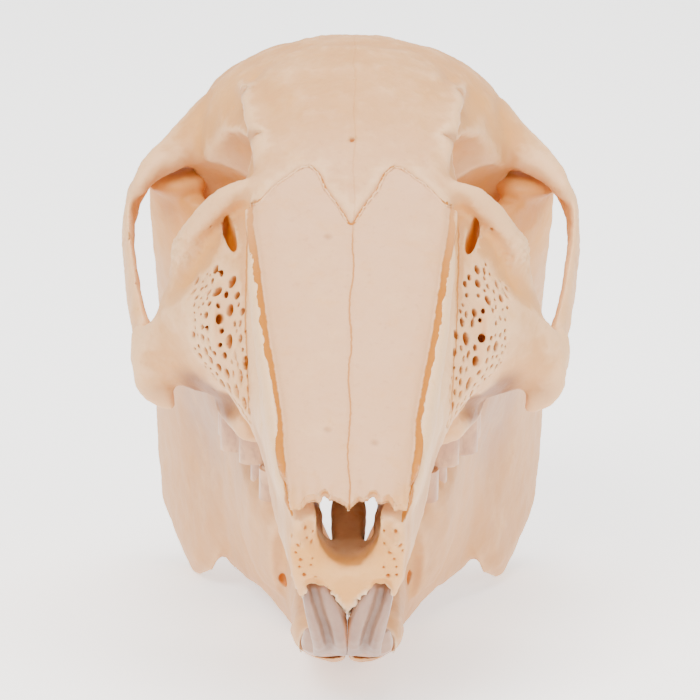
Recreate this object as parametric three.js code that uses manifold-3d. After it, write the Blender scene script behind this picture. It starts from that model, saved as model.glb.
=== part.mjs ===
// Rabbit skull with its lower jaw, life size, at rest on the floor.
// Millimetres. The bones are laid out in a chewing frame: x to the skull's left, y back from the
// tip of the nose, z up, with the upper cheek teeth ending on z = BITE. At the end everything is
// turned nose down by REST_TILT and set on the floor, as the skull lies on its lower jaw.

import * as THREE from "three";
import { mergeVertices } from "three/addons/utils/BufferGeometryUtils.js";
import Module from "manifold-3d";

const wasm = await Module();
wasm.setup();

// ---------------------------------------------------------------- driving sizes
const GAP = 0.3; // clear width of a suture cut
const HALF_GAP = GAP / 2;
const REST_TILT = 19; // degrees, nose down, from the chewing frame to the floor frame
const FLAT = 0.25; // depth of the small resting flats under the jaw
const BITE = 8.0; // level on which the upper cheek teeth end
const ROUND = 24; // points round the large rings
const FINE = 0.045; // how far the tidying may move a surface

// ---------------------------------------------------------------- small helpers
const v3 = (x, y, z) => new THREE.Vector3(x, y, z);
const rad = (degrees) => (degrees * Math.PI) / 180;
const mix = (a, b, t) => a + (b - a) * t;
const signedPow = (value, power) => Math.sign(value) * Math.abs(value) ** power;

// A smooth value between the rows of a table of stations, without overshoot.
function between(rows, key, at, name) {
  let i = 0;
  while (i < rows.length - 2 && at > rows[i + 1][key]) i += 1;
  const a = rows[i];
  const b = rows[i + 1];
  const slope = (p, q) => (q[name] - p[name]) / (q[key] - p[key]);
  const here = slope(a, b);
  const before = i > 0 ? slope(rows[i - 1], a) : here;
  const after = i < rows.length - 2 ? slope(b, rows[i + 2]) : here;
  const tangent = (m, n) => (m * n <= 0 ? 0 : (2 * m * n) / (m + n));
  const m0 = tangent(before, here);
  const m1 = tangent(here, after);
  const span = b[key] - a[key];
  const t = Math.min(1, Math.max(0, (at - a[key]) / span));
  const t2 = t * t;
  const t3 = t2 * t;
  return (
    (2 * t3 - 3 * t2 + 1) * a[name] +
    (t3 - 2 * t2 + t) * span * m0 +
    (3 * t2 - 2 * t3) * b[name] +
    (t3 - t2) * span * m1
  );
}

// Stations filled in between the given ones, at about the asked step.
function refine(rows, key, step) {
  const names = Object.keys(rows[0]);
  const from = rows[0][key];
  const to = rows[rows.length - 1][key];
  const count = Math.max(2, Math.round(Math.abs(to - from) / step));
  const filled = [];
  for (let i = 0; i <= count; i += 1) {
    const at = mix(from, to, i / count);
    const row = {};
    for (const name of names) {
      row[name] = name === key ? at : between(rows, key, at, name);
    }
    filled.push(row);
  }
  return filled;
}

// A closed skin through loops of points, with a cap at each end.
function skin(rings) {
  const positions = [];
  const index = [];
  const n = rings[0].length;
  for (const ring of rings) {
    for (const p of ring) positions.push(p.x, p.y, p.z);
  }
  for (let r = 0; r < rings.length - 1; r += 1) {
    for (let i = 0; i < n; i += 1) {
      const a = r * n + i;
      const b = r * n + ((i + 1) % n);
      index.push(a, b, b + n, a, b + n, a + n);
    }
  }
  const cap = (ring, first, flip) => {
    const centre = ring.reduce((sum, p) => sum.add(p), v3(0, 0, 0)).divideScalar(n);
    const c = positions.length / 3;
    positions.push(centre.x, centre.y, centre.z);
    for (let i = 0; i < n; i += 1) {
      const a = first + i;
      const b = first + ((i + 1) % n);
      if (flip) index.push(c, a, b);
      else index.push(c, b, a);
    }
  };
  cap(rings[0], 0, false);
  cap(rings[rings.length - 1], (rings.length - 1) * n, true);
  const geometry = new THREE.BufferGeometry();
  geometry.setAttribute("position", new THREE.Float32BufferAttribute(positions, 3));
  geometry.setIndex(index);
  return geometry;
}

// Volume inside a closed skin, negative when the faces point inwards.
function signedVolume(geometry) {
  const p = geometry.attributes.position;
  const at = (i) => v3(p.getX(i), p.getY(i), p.getZ(i));
  let sum = 0;
  for (let i = 0; i < geometry.index.count; i += 3) {
    const a = at(geometry.index.getX(i));
    const b = at(geometry.index.getX(i + 1));
    const c = at(geometry.index.getX(i + 2));
    sum += a.dot(b.cross(c)) / 6;
  }
  return sum;
}

// A solid that can be joined and cut, from any closed three.js geometry.
function solid(geometry) {
  const bare = new THREE.BufferGeometry();
  bare.setAttribute("position", geometry.getAttribute("position"));
  if (geometry.index) bare.setIndex(geometry.index);
  const merged = mergeVertices(bare, 1e-4);
  const triVerts = new Uint32Array(merged.index.array);
  if (signedVolume(merged) < 0) {
    for (let i = 0; i < triVerts.length; i += 3) {
      [triVerts[i + 1], triVerts[i + 2]] = [triVerts[i + 2], triVerts[i + 1]];
    }
  }
  const vertProperties = new Float32Array(merged.attributes.position.array);
  return new wasm.Manifold(new wasm.Mesh({ numProp: 3, vertProperties, triVerts }));
}

// The same solid on the other side of the middle plane.
function mirrored(piece) {
  const mesh = piece.getMesh();
  const vertProperties = new Float32Array(mesh.vertProperties);
  const triVerts = new Uint32Array(mesh.triVerts);
  for (let i = 0; i < vertProperties.length; i += 3) vertProperties[i] *= -1;
  for (let i = 0; i < triVerts.length; i += 3) {
    [triVerts[i + 1], triVerts[i + 2]] = [triVerts[i + 2], triVerts[i + 1]];
  }
  return new wasm.Manifold(new wasm.Mesh({ numProp: 3, vertProperties, triVerts }));
}

const both = (piece) => piece.add(mirrored(piece));
const joined = (pieces) => pieces.reduce((all, piece) => all.add(piece));

// The largest closed body of a cut solid.
function largest(piece) {
  const parts = piece.decompose();
  parts.sort((a, b) => b.volume() - a.volume());
  return parts[0];
}

// Joins and cuts leave slivers. This takes out every point that its neighbours can stand in for
// without moving the surface by more than `tolerance`, and keeps the body closed.
function planeOf(a, b, c) {
  const normal = b.clone().sub(a).cross(c.clone().sub(a));
  const area = normal.length();
  normal.divideScalar(area || 1);
  return { normal, offset: -normal.dot(a), area };
}
function tidied(piece, tolerance) {
  const mesh = piece.getMesh();
  const points = [];
  for (let i = 0; i < mesh.vertProperties.length; i += 3) {
    points.push(v3(...mesh.vertProperties.slice(i, i + 3)));
  }
  const faces = [];
  const around = points.map(() => new Set());
  const planes = points.map(() => []);
  for (let i = 0; i < mesh.triVerts.length; i += 3) {
    const face = Array.from(mesh.triVerts.slice(i, i + 3));
    const plane = planeOf(...face.map((v) => points[v]));
    for (const v of face) {
      around[v].add(faces.length);
      if (plane.area > 1e-4) planes[v].push(plane);
    }
    faces.push(face);
  }
  const neighbours = (v) => {
    const found = new Set();
    for (const f of around[v]) for (const w of faces[f]) if (w !== v) found.add(w);
    return found;
  };
  const canMove = (v, to) => {
    const near = neighbours(v);
    const shared = [...neighbours(to)].filter((w) => near.has(w));
    if (shared.length !== 2) return false;
    const tiny = points[v].distanceTo(points[to]) < tolerance;
    for (const plane of planes[v]) {
      if (tiny) break;
      if (Math.abs(plane.normal.dot(points[to]) + plane.offset) > tolerance) return false;
    }
    for (const f of around[v]) {
      if (faces[f].includes(to)) continue;
      const before = planeOf(...faces[f].map((w) => points[w]));
      const after = planeOf(...faces[f].map((w) => points[w === v ? to : w]));
      const longest = Math.max(...faces[f].map((w, i) => {
        const p = points[w === v ? to : w];
        const next = faces[f][(i + 1) % 3];
        return p.distanceTo(points[next === v ? to : next]);
      }));
      if (after.area < (tiny ? 0.004 : 0.02) * longest * longest) return false;
      if (before.area > 1e-4 && before.normal.dot(after.normal) < (tiny ? 0.1 : 0.5)) return false;
    }
    return true;
  };
  const move = (v, to) => {
    for (const f of [...around[v]]) {
      if (faces[f].includes(to)) {
        for (const w of faces[f]) around[w].delete(f);
        faces[f] = null;
      } else {
        faces[f] = faces[f].map((w) => (w === v ? to : w));
        around[to].add(f);
      }
    }
    planes[to] = planes[to].concat(planes[v]);
    around[v].clear();
  };
  for (let pass = 0; pass < 4; pass += 1) {
    const edges = [];
    for (const face of faces) {
      if (!face) continue;
      face.forEach((v, i) => edges.push([v, face[(i + 1) % 3]]));
    }
    const length = ([v, w]) => points[v].distanceTo(points[w]);
    edges.sort((p, q) => length(p) - length(q));
    for (const [v, w] of edges) {
      if (!around[v].size || !around[w].size || !neighbours(v).has(w)) continue;
      if (canMove(v, w)) move(v, w);
    }
  }
  const used = new Map();
  const vertProperties = [];
  const triVerts = [];
  for (const face of faces) {
    if (!face) continue;
    for (const v of face) {
      if (!used.has(v)) {
        used.set(v, used.size);
        vertProperties.push(...points[v].toArray());
      }
      triVerts.push(used.get(v));
    }
  }
  return new wasm.Manifold(new wasm.Mesh({
    numProp: 3,
    vertProperties: new Float32Array(vertProperties),
    triVerts: new Uint32Array(triVerts),
  }));
}

// ---------------------------------------------------------------- shapes
// A cross-section in a plane y = const: half width, top, bottom, the level of the widest point and
// how square the upper and lower halves are. `lean` moves points back the lower they lie.
function egg(s, count = ROUND) {
  const ring = [];
  for (let i = 0; i < count; i += 1) {
    const t = (i / count) * 2 * Math.PI;
    const c = Math.cos(t);
    const sn = Math.sin(t);
    const square = sn >= 0 ? s.upper : s.lower;
    const height = sn >= 0 ? s.top - s.mid : s.mid - s.bottom;
    const x = s.wide * signedPow(c, 2 / square);
    const z = s.mid + height * signedPow(sn, 2 / square);
    ring.push(v3((s.x || 0) + x, s.y + (s.lean || 0) * (s.top - z), z));
  }
  return ring;
}

function body(rows, step, count) {
  return solid(skin(refine(rows, "y", step).map((row) => egg(row, count))));
}

function ball(x, y, z, rx, ry, rz, turn = [0, 0, 0], detail = 20) {
  const geometry = new THREE.SphereGeometry(1, detail, Math.round(detail * 0.6));
  geometry.scale(rx, ry, rz);
  geometry.rotateX(rad(turn[0]));
  geometry.rotateY(rad(turn[1]));
  geometry.rotateZ(rad(turn[2]));
  geometry.translate(x, y, z);
  return solid(geometry);
}

function block(x0, x1, y0, y1, z0, z1) {
  const geometry = new THREE.BoxGeometry(x1 - x0, y1 - y0, z1 - z0);
  geometry.translate((x0 + x1) / 2, (y0 + y1) / 2, (z0 + z1) / 2);
  return solid(geometry);
}

// A limb swept through stations [x, y, z, half width, half height]; `up` says which way height runs.
function limb(stations, { up = [0, 0, 1], count = 14, steps = 4, square = 2.2 } = {}) {
  const path = new THREE.CatmullRomCurve3(
    stations.map((s) => v3(s[0], s[1], s[2])), false, "centripetal");
  const sizes = new THREE.CatmullRomCurve3(
    stations.map((s) => v3(s[3], s[4], 0)), false, "centripetal");
  const total = (stations.length - 1) * steps;
  const upward = v3(...up).normalize();
  const rings = [];
  for (let k = 0; k <= total; k += 1) {
    const t = k / total;
    const centre = path.getPoint(t);
    const size = sizes.getPoint(t);
    const along = path.getTangent(t).normalize();
    const side = along.clone().cross(upward).normalize();
    const high = side.clone().cross(along).normalize();
    const ring = [];
    for (let i = 0; i < count; i += 1) {
      const a = (i / count) * 2 * Math.PI;
      const p = centre.clone();
      p.addScaledVector(side, size.x * signedPow(Math.cos(a), 2 / square));
      p.addScaledVector(high, size.y * signedPow(Math.sin(a), 2 / square));
      ring.push(p);
    }
    rings.push(ring);
  }
  return solid(skin(rings));
}

// An upright blade: at each level z it runs from `front` to `back` in y, its middle going from
// x = `xf` to `xb`, bowed outwards by `bow`, with half thickness `half` and thin rounded edges.
function blade(rows, step, count = 12) {
  const rings = refine(rows, "z", step).map((s) => {
    const ring = [];
    const face = (sign, i) => {
      const t = i / count;
      const edge = Math.sqrt(Math.max(0, 1 - (2 * t - 1) ** 2));
      const thick = s.half * (0.15 + 0.85 * Math.min(1, edge * 1.4));
      const x = mix(s.xf, s.xb, t) + s.bow * 4 * t * (1 - t);
      return v3(x + sign * thick, mix(s.front, s.back, t), s.z);
    };
    for (let i = 0; i <= count; i += 1) ring.push(face(1, i));
    for (let i = count; i >= 0; i -= 1) ring.push(face(-1, i));
    return ring;
  });
  return solid(skin(rings));
}

// A pillar on an outline in the x-y plane, between two levels.
function prism(outline, z0, z1) {
  const shape = new THREE.Shape(outline.map(([x, y]) => new THREE.Vector2(x, y)));
  const geometry = new THREE.ExtrudeGeometry(shape, { depth: z1 - z0, bevelEnabled: false });
  geometry.translate(0, 0, z0);
  return solid(geometry);
}

// A bar across the skull on an outline in the y-z plane, between two x.
function crossPrism(outline, x0, x1) {
  const shape = new THREE.Shape(outline.map(([y, z]) => new THREE.Vector2(y, z)));
  const geometry = new THREE.ExtrudeGeometry(shape, { depth: x1 - x0, bevelEnabled: false });
  const turn = new THREE.Matrix4().set(0, 0, 1, x0, 1, 0, 0, 0, 0, 1, 0, 0, 0, 0, 0, 1);
  geometry.applyMatrix4(turn);
  return solid(geometry);
}

// ---------------------------------------------------------------- sutures seen from above
// Each is drawn on the skull's left half as x, y. The right half is its mirror image.
const NASO_FRONTAL = [
  [0, 29.9], [0.8, 31.5], [1.4, 32.8], [2.6, 34.8], [3.2, 36.6], [3.9, 37.4], [4.5, 37.2],
  [5.8, 36.2], [7.3, 34.9], [8.2, 33.6], [8.9, 34.6],
];
const NASAL_SIDE = [
  [8.9, 34.6], [8.6, 31.5], [8.1, 27.5], [7.7, 24], [7.1, 19], [6.5, 15], [5.8, 10.5],
  [5.6, 7], [5.2, 4], [4.9, 1.9],
];
const NASAL_FRONT = [
  [5.3, 2.8], [4.7, 1.1], [4.0, 1.0], [3.5, 1.6], [2.7, 1.4], [2.2, 2.0], [1.5, 1.3], [0.7, 1.1],
  [0, 0.2],
];
const STRIP_SIDE = [
  [9.5, 34.6], [9.45, 31.5], [9.3, 27], [9.0, 24.5], [8.4, 18], [8.0, 14],
];

// ---------------------------------------------------------------- cranium
// Snout, forehead and brain case, from the nose back.
const CRANIUM = [
  { y: 0.2, wide: 4.9, top: 22.6, bottom: 9.6, mid: 18.0, upper: 2.7, lower: 2.6, lean: 0.27 },
  { y: 4, wide: 5.7, top: 24.2, bottom: 9.2, mid: 18.0, upper: 2.8, lower: 2.6, lean: 0.26 },
  { y: 10, wide: 6.7, top: 26.4, bottom: 10.2, mid: 18.0, upper: 2.7, lower: 2.6, lean: 0.2 },
  { y: 18, wide: 7.9, top: 28.8, bottom: 11.6, mid: 18.5, upper: 2.3, lower: 2.6, lean: 0.1 },
  { y: 24, wide: 9.3, top: 30.6, bottom: 12.0, mid: 19.5, upper: 2.1, lower: 2.4, lean: 0.0 },
  { y: 29, wide: 12.0, top: 32.2, bottom: 12.4, mid: 20.5, upper: 1.9, lower: 2.2, lean: 0.0 },
  { y: 34, wide: 14.8, top: 33.8, bottom: 13.0, mid: 22.5, upper: 1.9, lower: 2.0, lean: 0.0 },
  { y: 38, wide: 14.6, top: 35.0, bottom: 13.6, mid: 24.0, upper: 2.0, lower: 2.0, lean: 0.0 },
  { y: 44, wide: 13.0, top: 36.8, bottom: 14.2, mid: 25.0, upper: 2.0, lower: 2.0, lean: 0.0 },
  { y: 50, wide: 13.2, top: 38.0, bottom: 14.6, mid: 24.5, upper: 2.1, lower: 2.0, lean: 0.0 },
  { y: 56, wide: 14.5, top: 38.0, bottom: 14.4, mid: 24.5, upper: 2.2, lower: 2.1, lean: 0.0 },
  { y: 61, wide: 15.3, top: 36.8, bottom: 13.8, mid: 24.5, upper: 2.15, lower: 2.2, lean: 0.0 },
  { y: 67, wide: 15.2, top: 33.8, bottom: 13.2, mid: 23.5, upper: 2.1, lower: 2.3, lean: 0.0 },
  { y: 73, wide: 13.8, top: 29.9, bottom: 13.0, mid: 21.0, upper: 2.1, lower: 2.3, lean: 0.0 },
  { y: 78, wide: 11.2, top: 26.4, bottom: 13.4, mid: 19.5, upper: 2.3, lower: 2.3, lean: 0.0 },
  { y: 82, wide: 8.2, top: 24.0, bottom: 14.6, mid: 19.0, upper: 2.4, lower: 2.2, lean: 0.0 },
];
let cranium = body(CRANIUM, 4.0);

// The flat roof that the nasal and frontal bones share, with its sharp side edges.
const ROOF = [
  { y: -0.2, wide: 4.5, top: 23.1, bottom: 17.0, mid: 21.4, upper: 3.2, lower: 2.6, lean: 0.2 },
  { y: 3, wide: 5.7, top: 24.4, bottom: 17.4, mid: 22.4, upper: 3.2, lower: 2.6, lean: 0.2 },
  { y: 8, wide: 6.8, top: 26.2, bottom: 18.0, mid: 23.8, upper: 3.2, lower: 2.4, lean: 0.1 },
  { y: 14, wide: 7.7, top: 28.3, bottom: 19.0, mid: 25.6, upper: 3.2, lower: 2.2, lean: 0.0 },
  { y: 20, wide: 8.4, top: 30.3, bottom: 21.0, mid: 27.6, upper: 3.2, lower: 2.1, lean: 0.0 },
  { y: 27, wide: 9.1, top: 32.6, bottom: 24.0, mid: 30.2, upper: 3.2, lower: 2.0, lean: 0.0 },
  { y: 34, wide: 9.5, top: 34.9, bottom: 27.0, mid: 32.6, upper: 3.0, lower: 2.0, lean: 0.0 },
  { y: 40, wide: 8.8, top: 36.8, bottom: 30.0, mid: 34.4, upper: 2.6, lower: 2.0, lean: 0.0 },
  { y: 46, wide: 9.1, top: 38.1, bottom: 31.5, mid: 35.4, upper: 2.4, lower: 2.0, lean: 0.0 },
  { y: 52, wide: 9.3, top: 38.6, bottom: 32.0, mid: 35.4, upper: 2.3, lower: 2.0, lean: 0.0 },
  { y: 57, wide: 8.6, top: 38.0, bottom: 32.0, mid: 34.6, upper: 2.2, lower: 2.0, lean: 0.0 },
];
const roof = body(ROOF, 4.6, 20);

// The eye sockets: a wide hollow on each side leaves a thin wall between them.
const orbitHollow = joined([
  ball(17.4, 45.4, 26.8, 13.8, 9.0, 8.4, [8, 0, 0], 16),
  ball(15.6, 50.4, 22.0, 9.4, 7.4, 6.6, [0, 0, 0], 12),
]);
cranium = cranium.subtract(both(orbitHollow));

// Edge of the roof over the sockets: a front hook and a long rear process.
const brow = joined([
  limb([
    [7.6, 40.5, 35.4, 1.4, 0.9],
    [8.2, 44.0, 36.0, 1.6, 0.9],
    [8.9, 49.0, 36.2, 1.4, 0.9],
    [9.8, 53.6, 35.2, 0.8, 0.7],
    [10.3, 56.4, 34.3, 0.4, 0.4],
  ], { count: 8, steps: 2 }),
  limb([
    [8.2, 45.4, 35.9, 1.1, 0.8],
    [8.9, 43.4, 35.8, 0.8, 0.6],
    [8.7, 41.9, 35.6, 0.35, 0.4],
  ], { count: 8, steps: 2 }),
]);

// Front rim of the socket, down to the cheek.
const rim = limb([
  [8.4, 37.4, 33.9, 0.9, 1.0],
  [11.4, 37.4, 32.8, 1.1, 1.2],
  [13.8, 37.4, 30.0, 1.1, 1.4],
  [15.0, 37.6, 27.4, 1.2, 1.5],
  [15.4, 37.0, 24.0, 1.3, 2.0],
  [16.6, 36.6, 20.8, 1.2, 2.2],
], { up: [0, 1, 0], count: 8, steps: 2 });

// Root of the cheek bone on the upper jaw, with the spine that hangs from it.
const cheekRoot = joined([
  limb([
    [9.6, 31.4, 21.4, 4.4, 6.0],
    [12.6, 33.2, 20.4, 3.2, 5.4],
    [15.6, 34.8, 18.4, 1.9, 4.0],
    [18.2, 35.8, 16.9, 1.5, 2.9],
    [19.6, 37.4, 16.8, 1.0, 2.6],
  ], { count: 12, steps: 2 }),
  limb([
    [18.0, 35.4, 17.2, 2.0, 1.4],
    [18.0, 34.9, 15.0, 2.0, 1.2],
    [17.4, 35.0, 13.2, 1.5, 0.9],
    [16.4, 35.2, 11.8, 0.5, 0.5],
  ], { up: [0, 1, 0], count: 8, steps: 2 }),
]);

// The cheek bone itself: a thin upright strap bowed outwards, with a free rear point.
const cheekPath = (grow) => limb([
  [18.8, 37.4, 16.9, 1.1 + grow, 2.3 + grow],
  [19.5, 40.6, 17.5, 0.75 + grow, 2.5 + grow],
  [20.28, 45.0, 18.9, 0.62 + grow, 2.6 + grow],
  [20.85, 50.0, 20.8, 0.6 + grow, 2.7 + grow],
  [20.6, 55.0, 22.4, 0.6 + grow, 2.1 + grow],
  [19.5, 59.5, 22.0, 0.6 + grow, 1.1 + grow],
  [18.9, 62.0 + grow, 21.2, 0.4 + grow, 0.5 + grow],
], { count: 8, steps: 3 });
const cheekBone = cheekPath(0);

// The temporal root that reaches out over the jaw joint to the cheek bone.
const templeRoot = limb([
  [12.2, 60.6, 27.6, 4.2, 3.0],
  [14.6, 59.2, 26.8, 3.0, 1.9],
  [16.9, 57.6, 26.0, 2.2, 1.3],
  [18.9, 55.4, 25.4, 1.4, 1.1],
  [20.0, 52.6, 24.8, 0.7, 0.8],
], { count: 10, steps: 2 });

// Upper jaw block that holds the cheek teeth.
const UPPER_BLOCK = [
  { y: 28.6, x: 8.4, wide: 2.2, top: 18.0, bottom: 12.0, mid: 14.0, upper: 2.2, lower: 2.4 },
  { y: 31.5, x: 8.8, wide: 3.2, top: 20.0, bottom: 11.0, mid: 14.5, upper: 2.2, lower: 2.6 },
  { y: 36.0, x: 9.4, wide: 3.5, top: 21.6, bottom: 10.9, mid: 15.0, upper: 2.2, lower: 2.8 },
  { y: 42.0, x: 9.3, wide: 3.5, top: 21.8, bottom: 10.9, mid: 15.2, upper: 2.2, lower: 2.8 },
  { y: 46.0, x: 8.8, wide: 2.9, top: 20.8, bottom: 11.4, mid: 15.4, upper: 2.2, lower: 2.6 },
  { y: 48.4, x: 8.2, wide: 1.7, top: 19.0, bottom: 13.0, mid: 16.0, upper: 2.2, lower: 2.2 },
];
const upperBlock = body(UPPER_BLOCK, 5, 12);

// Wings behind the palate, and the bar of the skull base between the ear capsules.
const pterygoid = joined([
  limb([
    [4.8, 45.4, 15.4, 0.8, 2.6],
    [4.6, 51.0, 14.8, 0.8, 3.4],
    [4.4, 56.0, 14.2, 0.8, 3.6],
    [4.8, 60.0, 13.8, 0.6, 2.2],
  ], { count: 8, steps: 2 }),
  limb([
    [6.8, 47.4, 16.4, 0.8, 2.4],
    [7.2, 52.0, 15.4, 0.7, 3.2],
    [7.6, 57.0, 15.2, 0.7, 3.0],
    [8.4, 61.0, 15.6, 0.6, 1.6],
  ], { count: 8, steps: 2 }),
]);

// Ear capsules: swollen and egg shaped, with a short ear tube that points up and out.
const earCapsule = (grow) => joined([
  ball(9.9, 69.0, 11.6, 4.7 + grow, 6.6 + grow, 7.4 + grow, [8, -8, -6], 16),
  limb([
    [11.6, 69.6, 15.0, 2.8 + grow, 2.8 + grow],
    [13.6, 69.8, 18.6, 2.3 + grow, 2.5 + grow],
    [14.9, 69.6, 22.0 + grow, 1.9 + grow, 2.2 + grow],
  ], { up: [0, 1, 0], count: 10, steps: 2 }),
]);
const earHole = limb([
  [16.4, 69.4, 24.6, 1.3, 1.5],
  [14.6, 69.8, 20.8, 1.1, 1.3],
  [13.2, 69.8, 18.2, 0.9, 1.0],
], { up: [0, 1, 0], count: 10, steps: 2 });

// Back of the head: shield, condyles and the long side processes.
const occiput = joined([
  body([
    { y: 70.0, wide: 7.0, top: 30.2, bottom: 22.0, mid: 25.0, upper: 2.6, lower: 2.4 },
    { y: 76.0, wide: 7.2, top: 28.0, bottom: 20.5, mid: 24.4, upper: 3.0, lower: 2.4 },
    { y: 81.0, wide: 6.6, top: 26.0, bottom: 20.6, mid: 23.8, upper: 3.4, lower: 2.2 },
    { y: 84.6, wide: 5.4, top: 24.6, bottom: 21.4, mid: 23.4, upper: 3.4, lower: 2.0 },
    { y: 86.4, wide: 4.2, top: 23.8, bottom: 22.2, mid: 23.1, upper: 2.6, lower: 2.0 },
  ], 3.6, 16),
  both(limb([
    [2.6, 80.2, 13.6, 1.4, 1.2],
    [3.9, 83.0, 14.6, 1.7, 1.5],
    [4.5, 84.2, 16.8, 1.6, 1.4],
    [4.3, 83.0, 19.2, 1.0, 1.0],
  ], { up: [1, 0, 0], count: 8, steps: 2 })),
  both(limb([
    [10.0, 77.6, 18.0, 1.6, 1.6],
    [11.0, 78.0, 13.4, 1.2, 1.3],
    [10.8, 77.4, 9.6, 0.6, 0.8],
  ], { up: [0, 1, 0], count: 8, steps: 2 })),
]);
const foramenMagnum = ball(0, 85.6, 16.4, 3.5, 7.5, 3.4, [-18, 0, 0], 14);

cranium = joined([
  cranium,
  roof,
  both(brow),
  both(rim),
  both(cheekRoot),
  both(templeRoot),
  both(upperBlock),
  both(pterygoid),
  occiput,
]);
cranium = cranium.subtract(foramenMagnum);
cranium = cranium.subtract(both(cheekPath(GAP)));
cranium = cranium.subtract(both(earCapsule(GAP)));
const bulla = earCapsule(0).subtract(earHole);

// ---------------------------------------------------------------- hollow snout
// The nose opening, the hollow behind it and the two long slits in the floor.
const hollow = body([
  { y: -4, wide: 2.3, top: 21.0, bottom: 16.2, mid: 19.4, upper: 4.0, lower: 2.0, lean: 0.2 },
  { y: 2.5, wide: 2.8, top: 23.1, bottom: 15.6, mid: 20.4, upper: 4.0, lower: 2.0, lean: 0.2 },
  { y: 9, wide: 4.8, top: 25.4, bottom: 14.8, mid: 21.0, upper: 3.2, lower: 1.9, lean: 0.1 },
  { y: 17, wide: 6.3, top: 27.6, bottom: 13.4, mid: 20.4, upper: 2.8, lower: 2.3, lean: 0.0 },
  { y: 24, wide: 6.8, top: 29.4, bottom: 14.0, mid: 20.4, upper: 2.6, lower: 2.2, lean: 0.0 },
  { y: 28, wide: 4.0, top: 27.0, bottom: 16.4, mid: 21.0, upper: 2.2, lower: 2.0, lean: 0.0 },
], 4.6, 16);
// A shallow funnel leads into the opening below the nasal bones.
const funnel = ball(0, -2.2, 18.4, 4.9, 5.2, 6.2, [-12, 0, 0], 20).intersect(block(-6, 6, -9, 6, 9, 21.6));
cranium = cranium.subtract(hollow.add(funnel));
const slit = prism([
  [1.05, 4.4], [1.9, 4.4], [2.3, 8.0], [2.5, 11.5], [3.0, 16], [3.4, 21], [3.2, 25.5], [2.2, 27.5],
  [1.2, 26], [1.2, 18],
], 5, 18).intersect(crossPrism([
  [4.8, 18], [27.6, 18], [27.6, 5], [13.6, 5], [12.9, 10.0], [7.6, 13.7], [5.4, 15.2],
], 0, 5));
cranium = cranium.subtract(both(slit));
// The bar between the slits.
const middleBar = limb([
  [0, 6.0, 14.6, 1.2, 0.9],
  [0, 12.0, 13.8, 1.2, 1.1],
  [0, 20.0, 13.4, 1.1, 1.2],
  [0, 27.0, 14.6, 1.2, 1.6],
], { square: 3, count: 8, steps: 1 });
cranium = cranium.add(middleBar);
// The rear opening of the nose behind the palate bridge.
const choana = body([
  { y: 37.0, wide: 2.2, top: 17.5, bottom: 9.0, mid: 13.0, upper: 2.4, lower: 3 },
  { y: 42.0, wide: 3.6, top: 19.5, bottom: 8.0, mid: 13.0, upper: 2.4, lower: 3 },
  { y: 50.0, wide: 3.7, top: 19.0, bottom: 8.0, mid: 13.0, upper: 2.4, lower: 3 },
  { y: 58.0, wide: 3.4, top: 16.0, bottom: 8.0, mid: 12.0, upper: 2.4, lower: 3 },
  { y: 60.5, wide: 2.0, top: 14.5, bottom: 8.0, mid: 11.0, upper: 2.4, lower: 3 },
], 5, 12);
cranium = cranium.subtract(choana);

// ---------------------------------------------------------------- cheek teeth
// Rows of ridged columns: centre x, centre y, half width across, half length.
const UPPER_TEETH = [
  [8.8, 32.2, 1.3, 0.9],
  [9.6, 34.5, 2.3, 1.15],
  [9.8, 37.1, 2.4, 1.2],
  [9.7, 39.7, 2.35, 1.2],
  [9.4, 42.2, 2.15, 1.1],
  [8.8, 44.3, 1.1, 0.75],
];
const LOWER_TEETH = [
  [6.9, 31.9, 1.35, 1.5],
  [7.5, 34.9, 1.6, 1.3],
  [8.0, 37.6, 1.65, 1.25],
  [8.4, 40.2, 1.6, 1.2],
  [8.7, 42.6, 0.9, 0.9],
];
function column([x, y, wide, long], from, to) {
  const points = 10;
  const rows = [0, 1].map((t) => {
    const ring = [];
    for (let i = 0; i < points; i += 1) {
      const a = (i / points) * 2 * Math.PI;
      const inner = Math.cos(a) > 0 ? 1 : 0.5;
      const groove = 1 - 0.16 * inner * Math.exp(-((Math.sin(a) * 3.2) ** 2));
      ring.push(v3(
        x + wide * groove * signedPow(Math.cos(a), 0.75),
        y + long * signedPow(Math.sin(a), 0.75),
        mix(from, to, t),
      ));
    }
    return ring;
  });
  return solid(skin(rows));
}
for (const tooth of UPPER_TEETH) {
  cranium = cranium.add(both(column(tooth, BITE + 0.15, BITE + 6)));
}

// ---------------------------------------------------------------- incisors
// Curved chisels. Stations: x, y, z, half width, half depth, place of the front groove, from the
// root to the cutting edge.
function chisel(stations, groove, grow = 0) {
  const rings = [];
  const path = new THREE.CatmullRomCurve3(stations.map((s) => v3(s[0], s[1], s[2])));
  const sizes = new THREE.CatmullRomCurve3(stations.map((s) => v3(s[3], s[4], s[5] || 0)));
  const total = (stations.length - 1) * 2;
  for (let k = 0; k <= total; k += 1) {
    const t = k / total;
    const centre = path.getPoint(t);
    const size = sizes.getPoint(t);
    const along = path.getTangent(t);
    const front = v3(0, along.z, -along.y).normalize();
    if (front.y > 0) front.negate();
    const ring = [];
    for (let i = 0; i < 12; i += 1) {
      const a = (i / 12) * 2 * Math.PI;
      const across = (size.x + grow) * signedPow(Math.cos(a), 0.7);
      let deep = (size.y + grow) * signedPow(Math.sin(a), 0.7);
      if (Math.sin(a) > 0) deep -= groove * Math.exp(-(((across - size.z) / 0.5) ** 2));
      ring.push(v3(centre.x + across, centre.y + front.y * deep, centre.z + front.z * deep));
    }
    rings.push(ring);
  }
  return solid(skin(rings));
}
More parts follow.
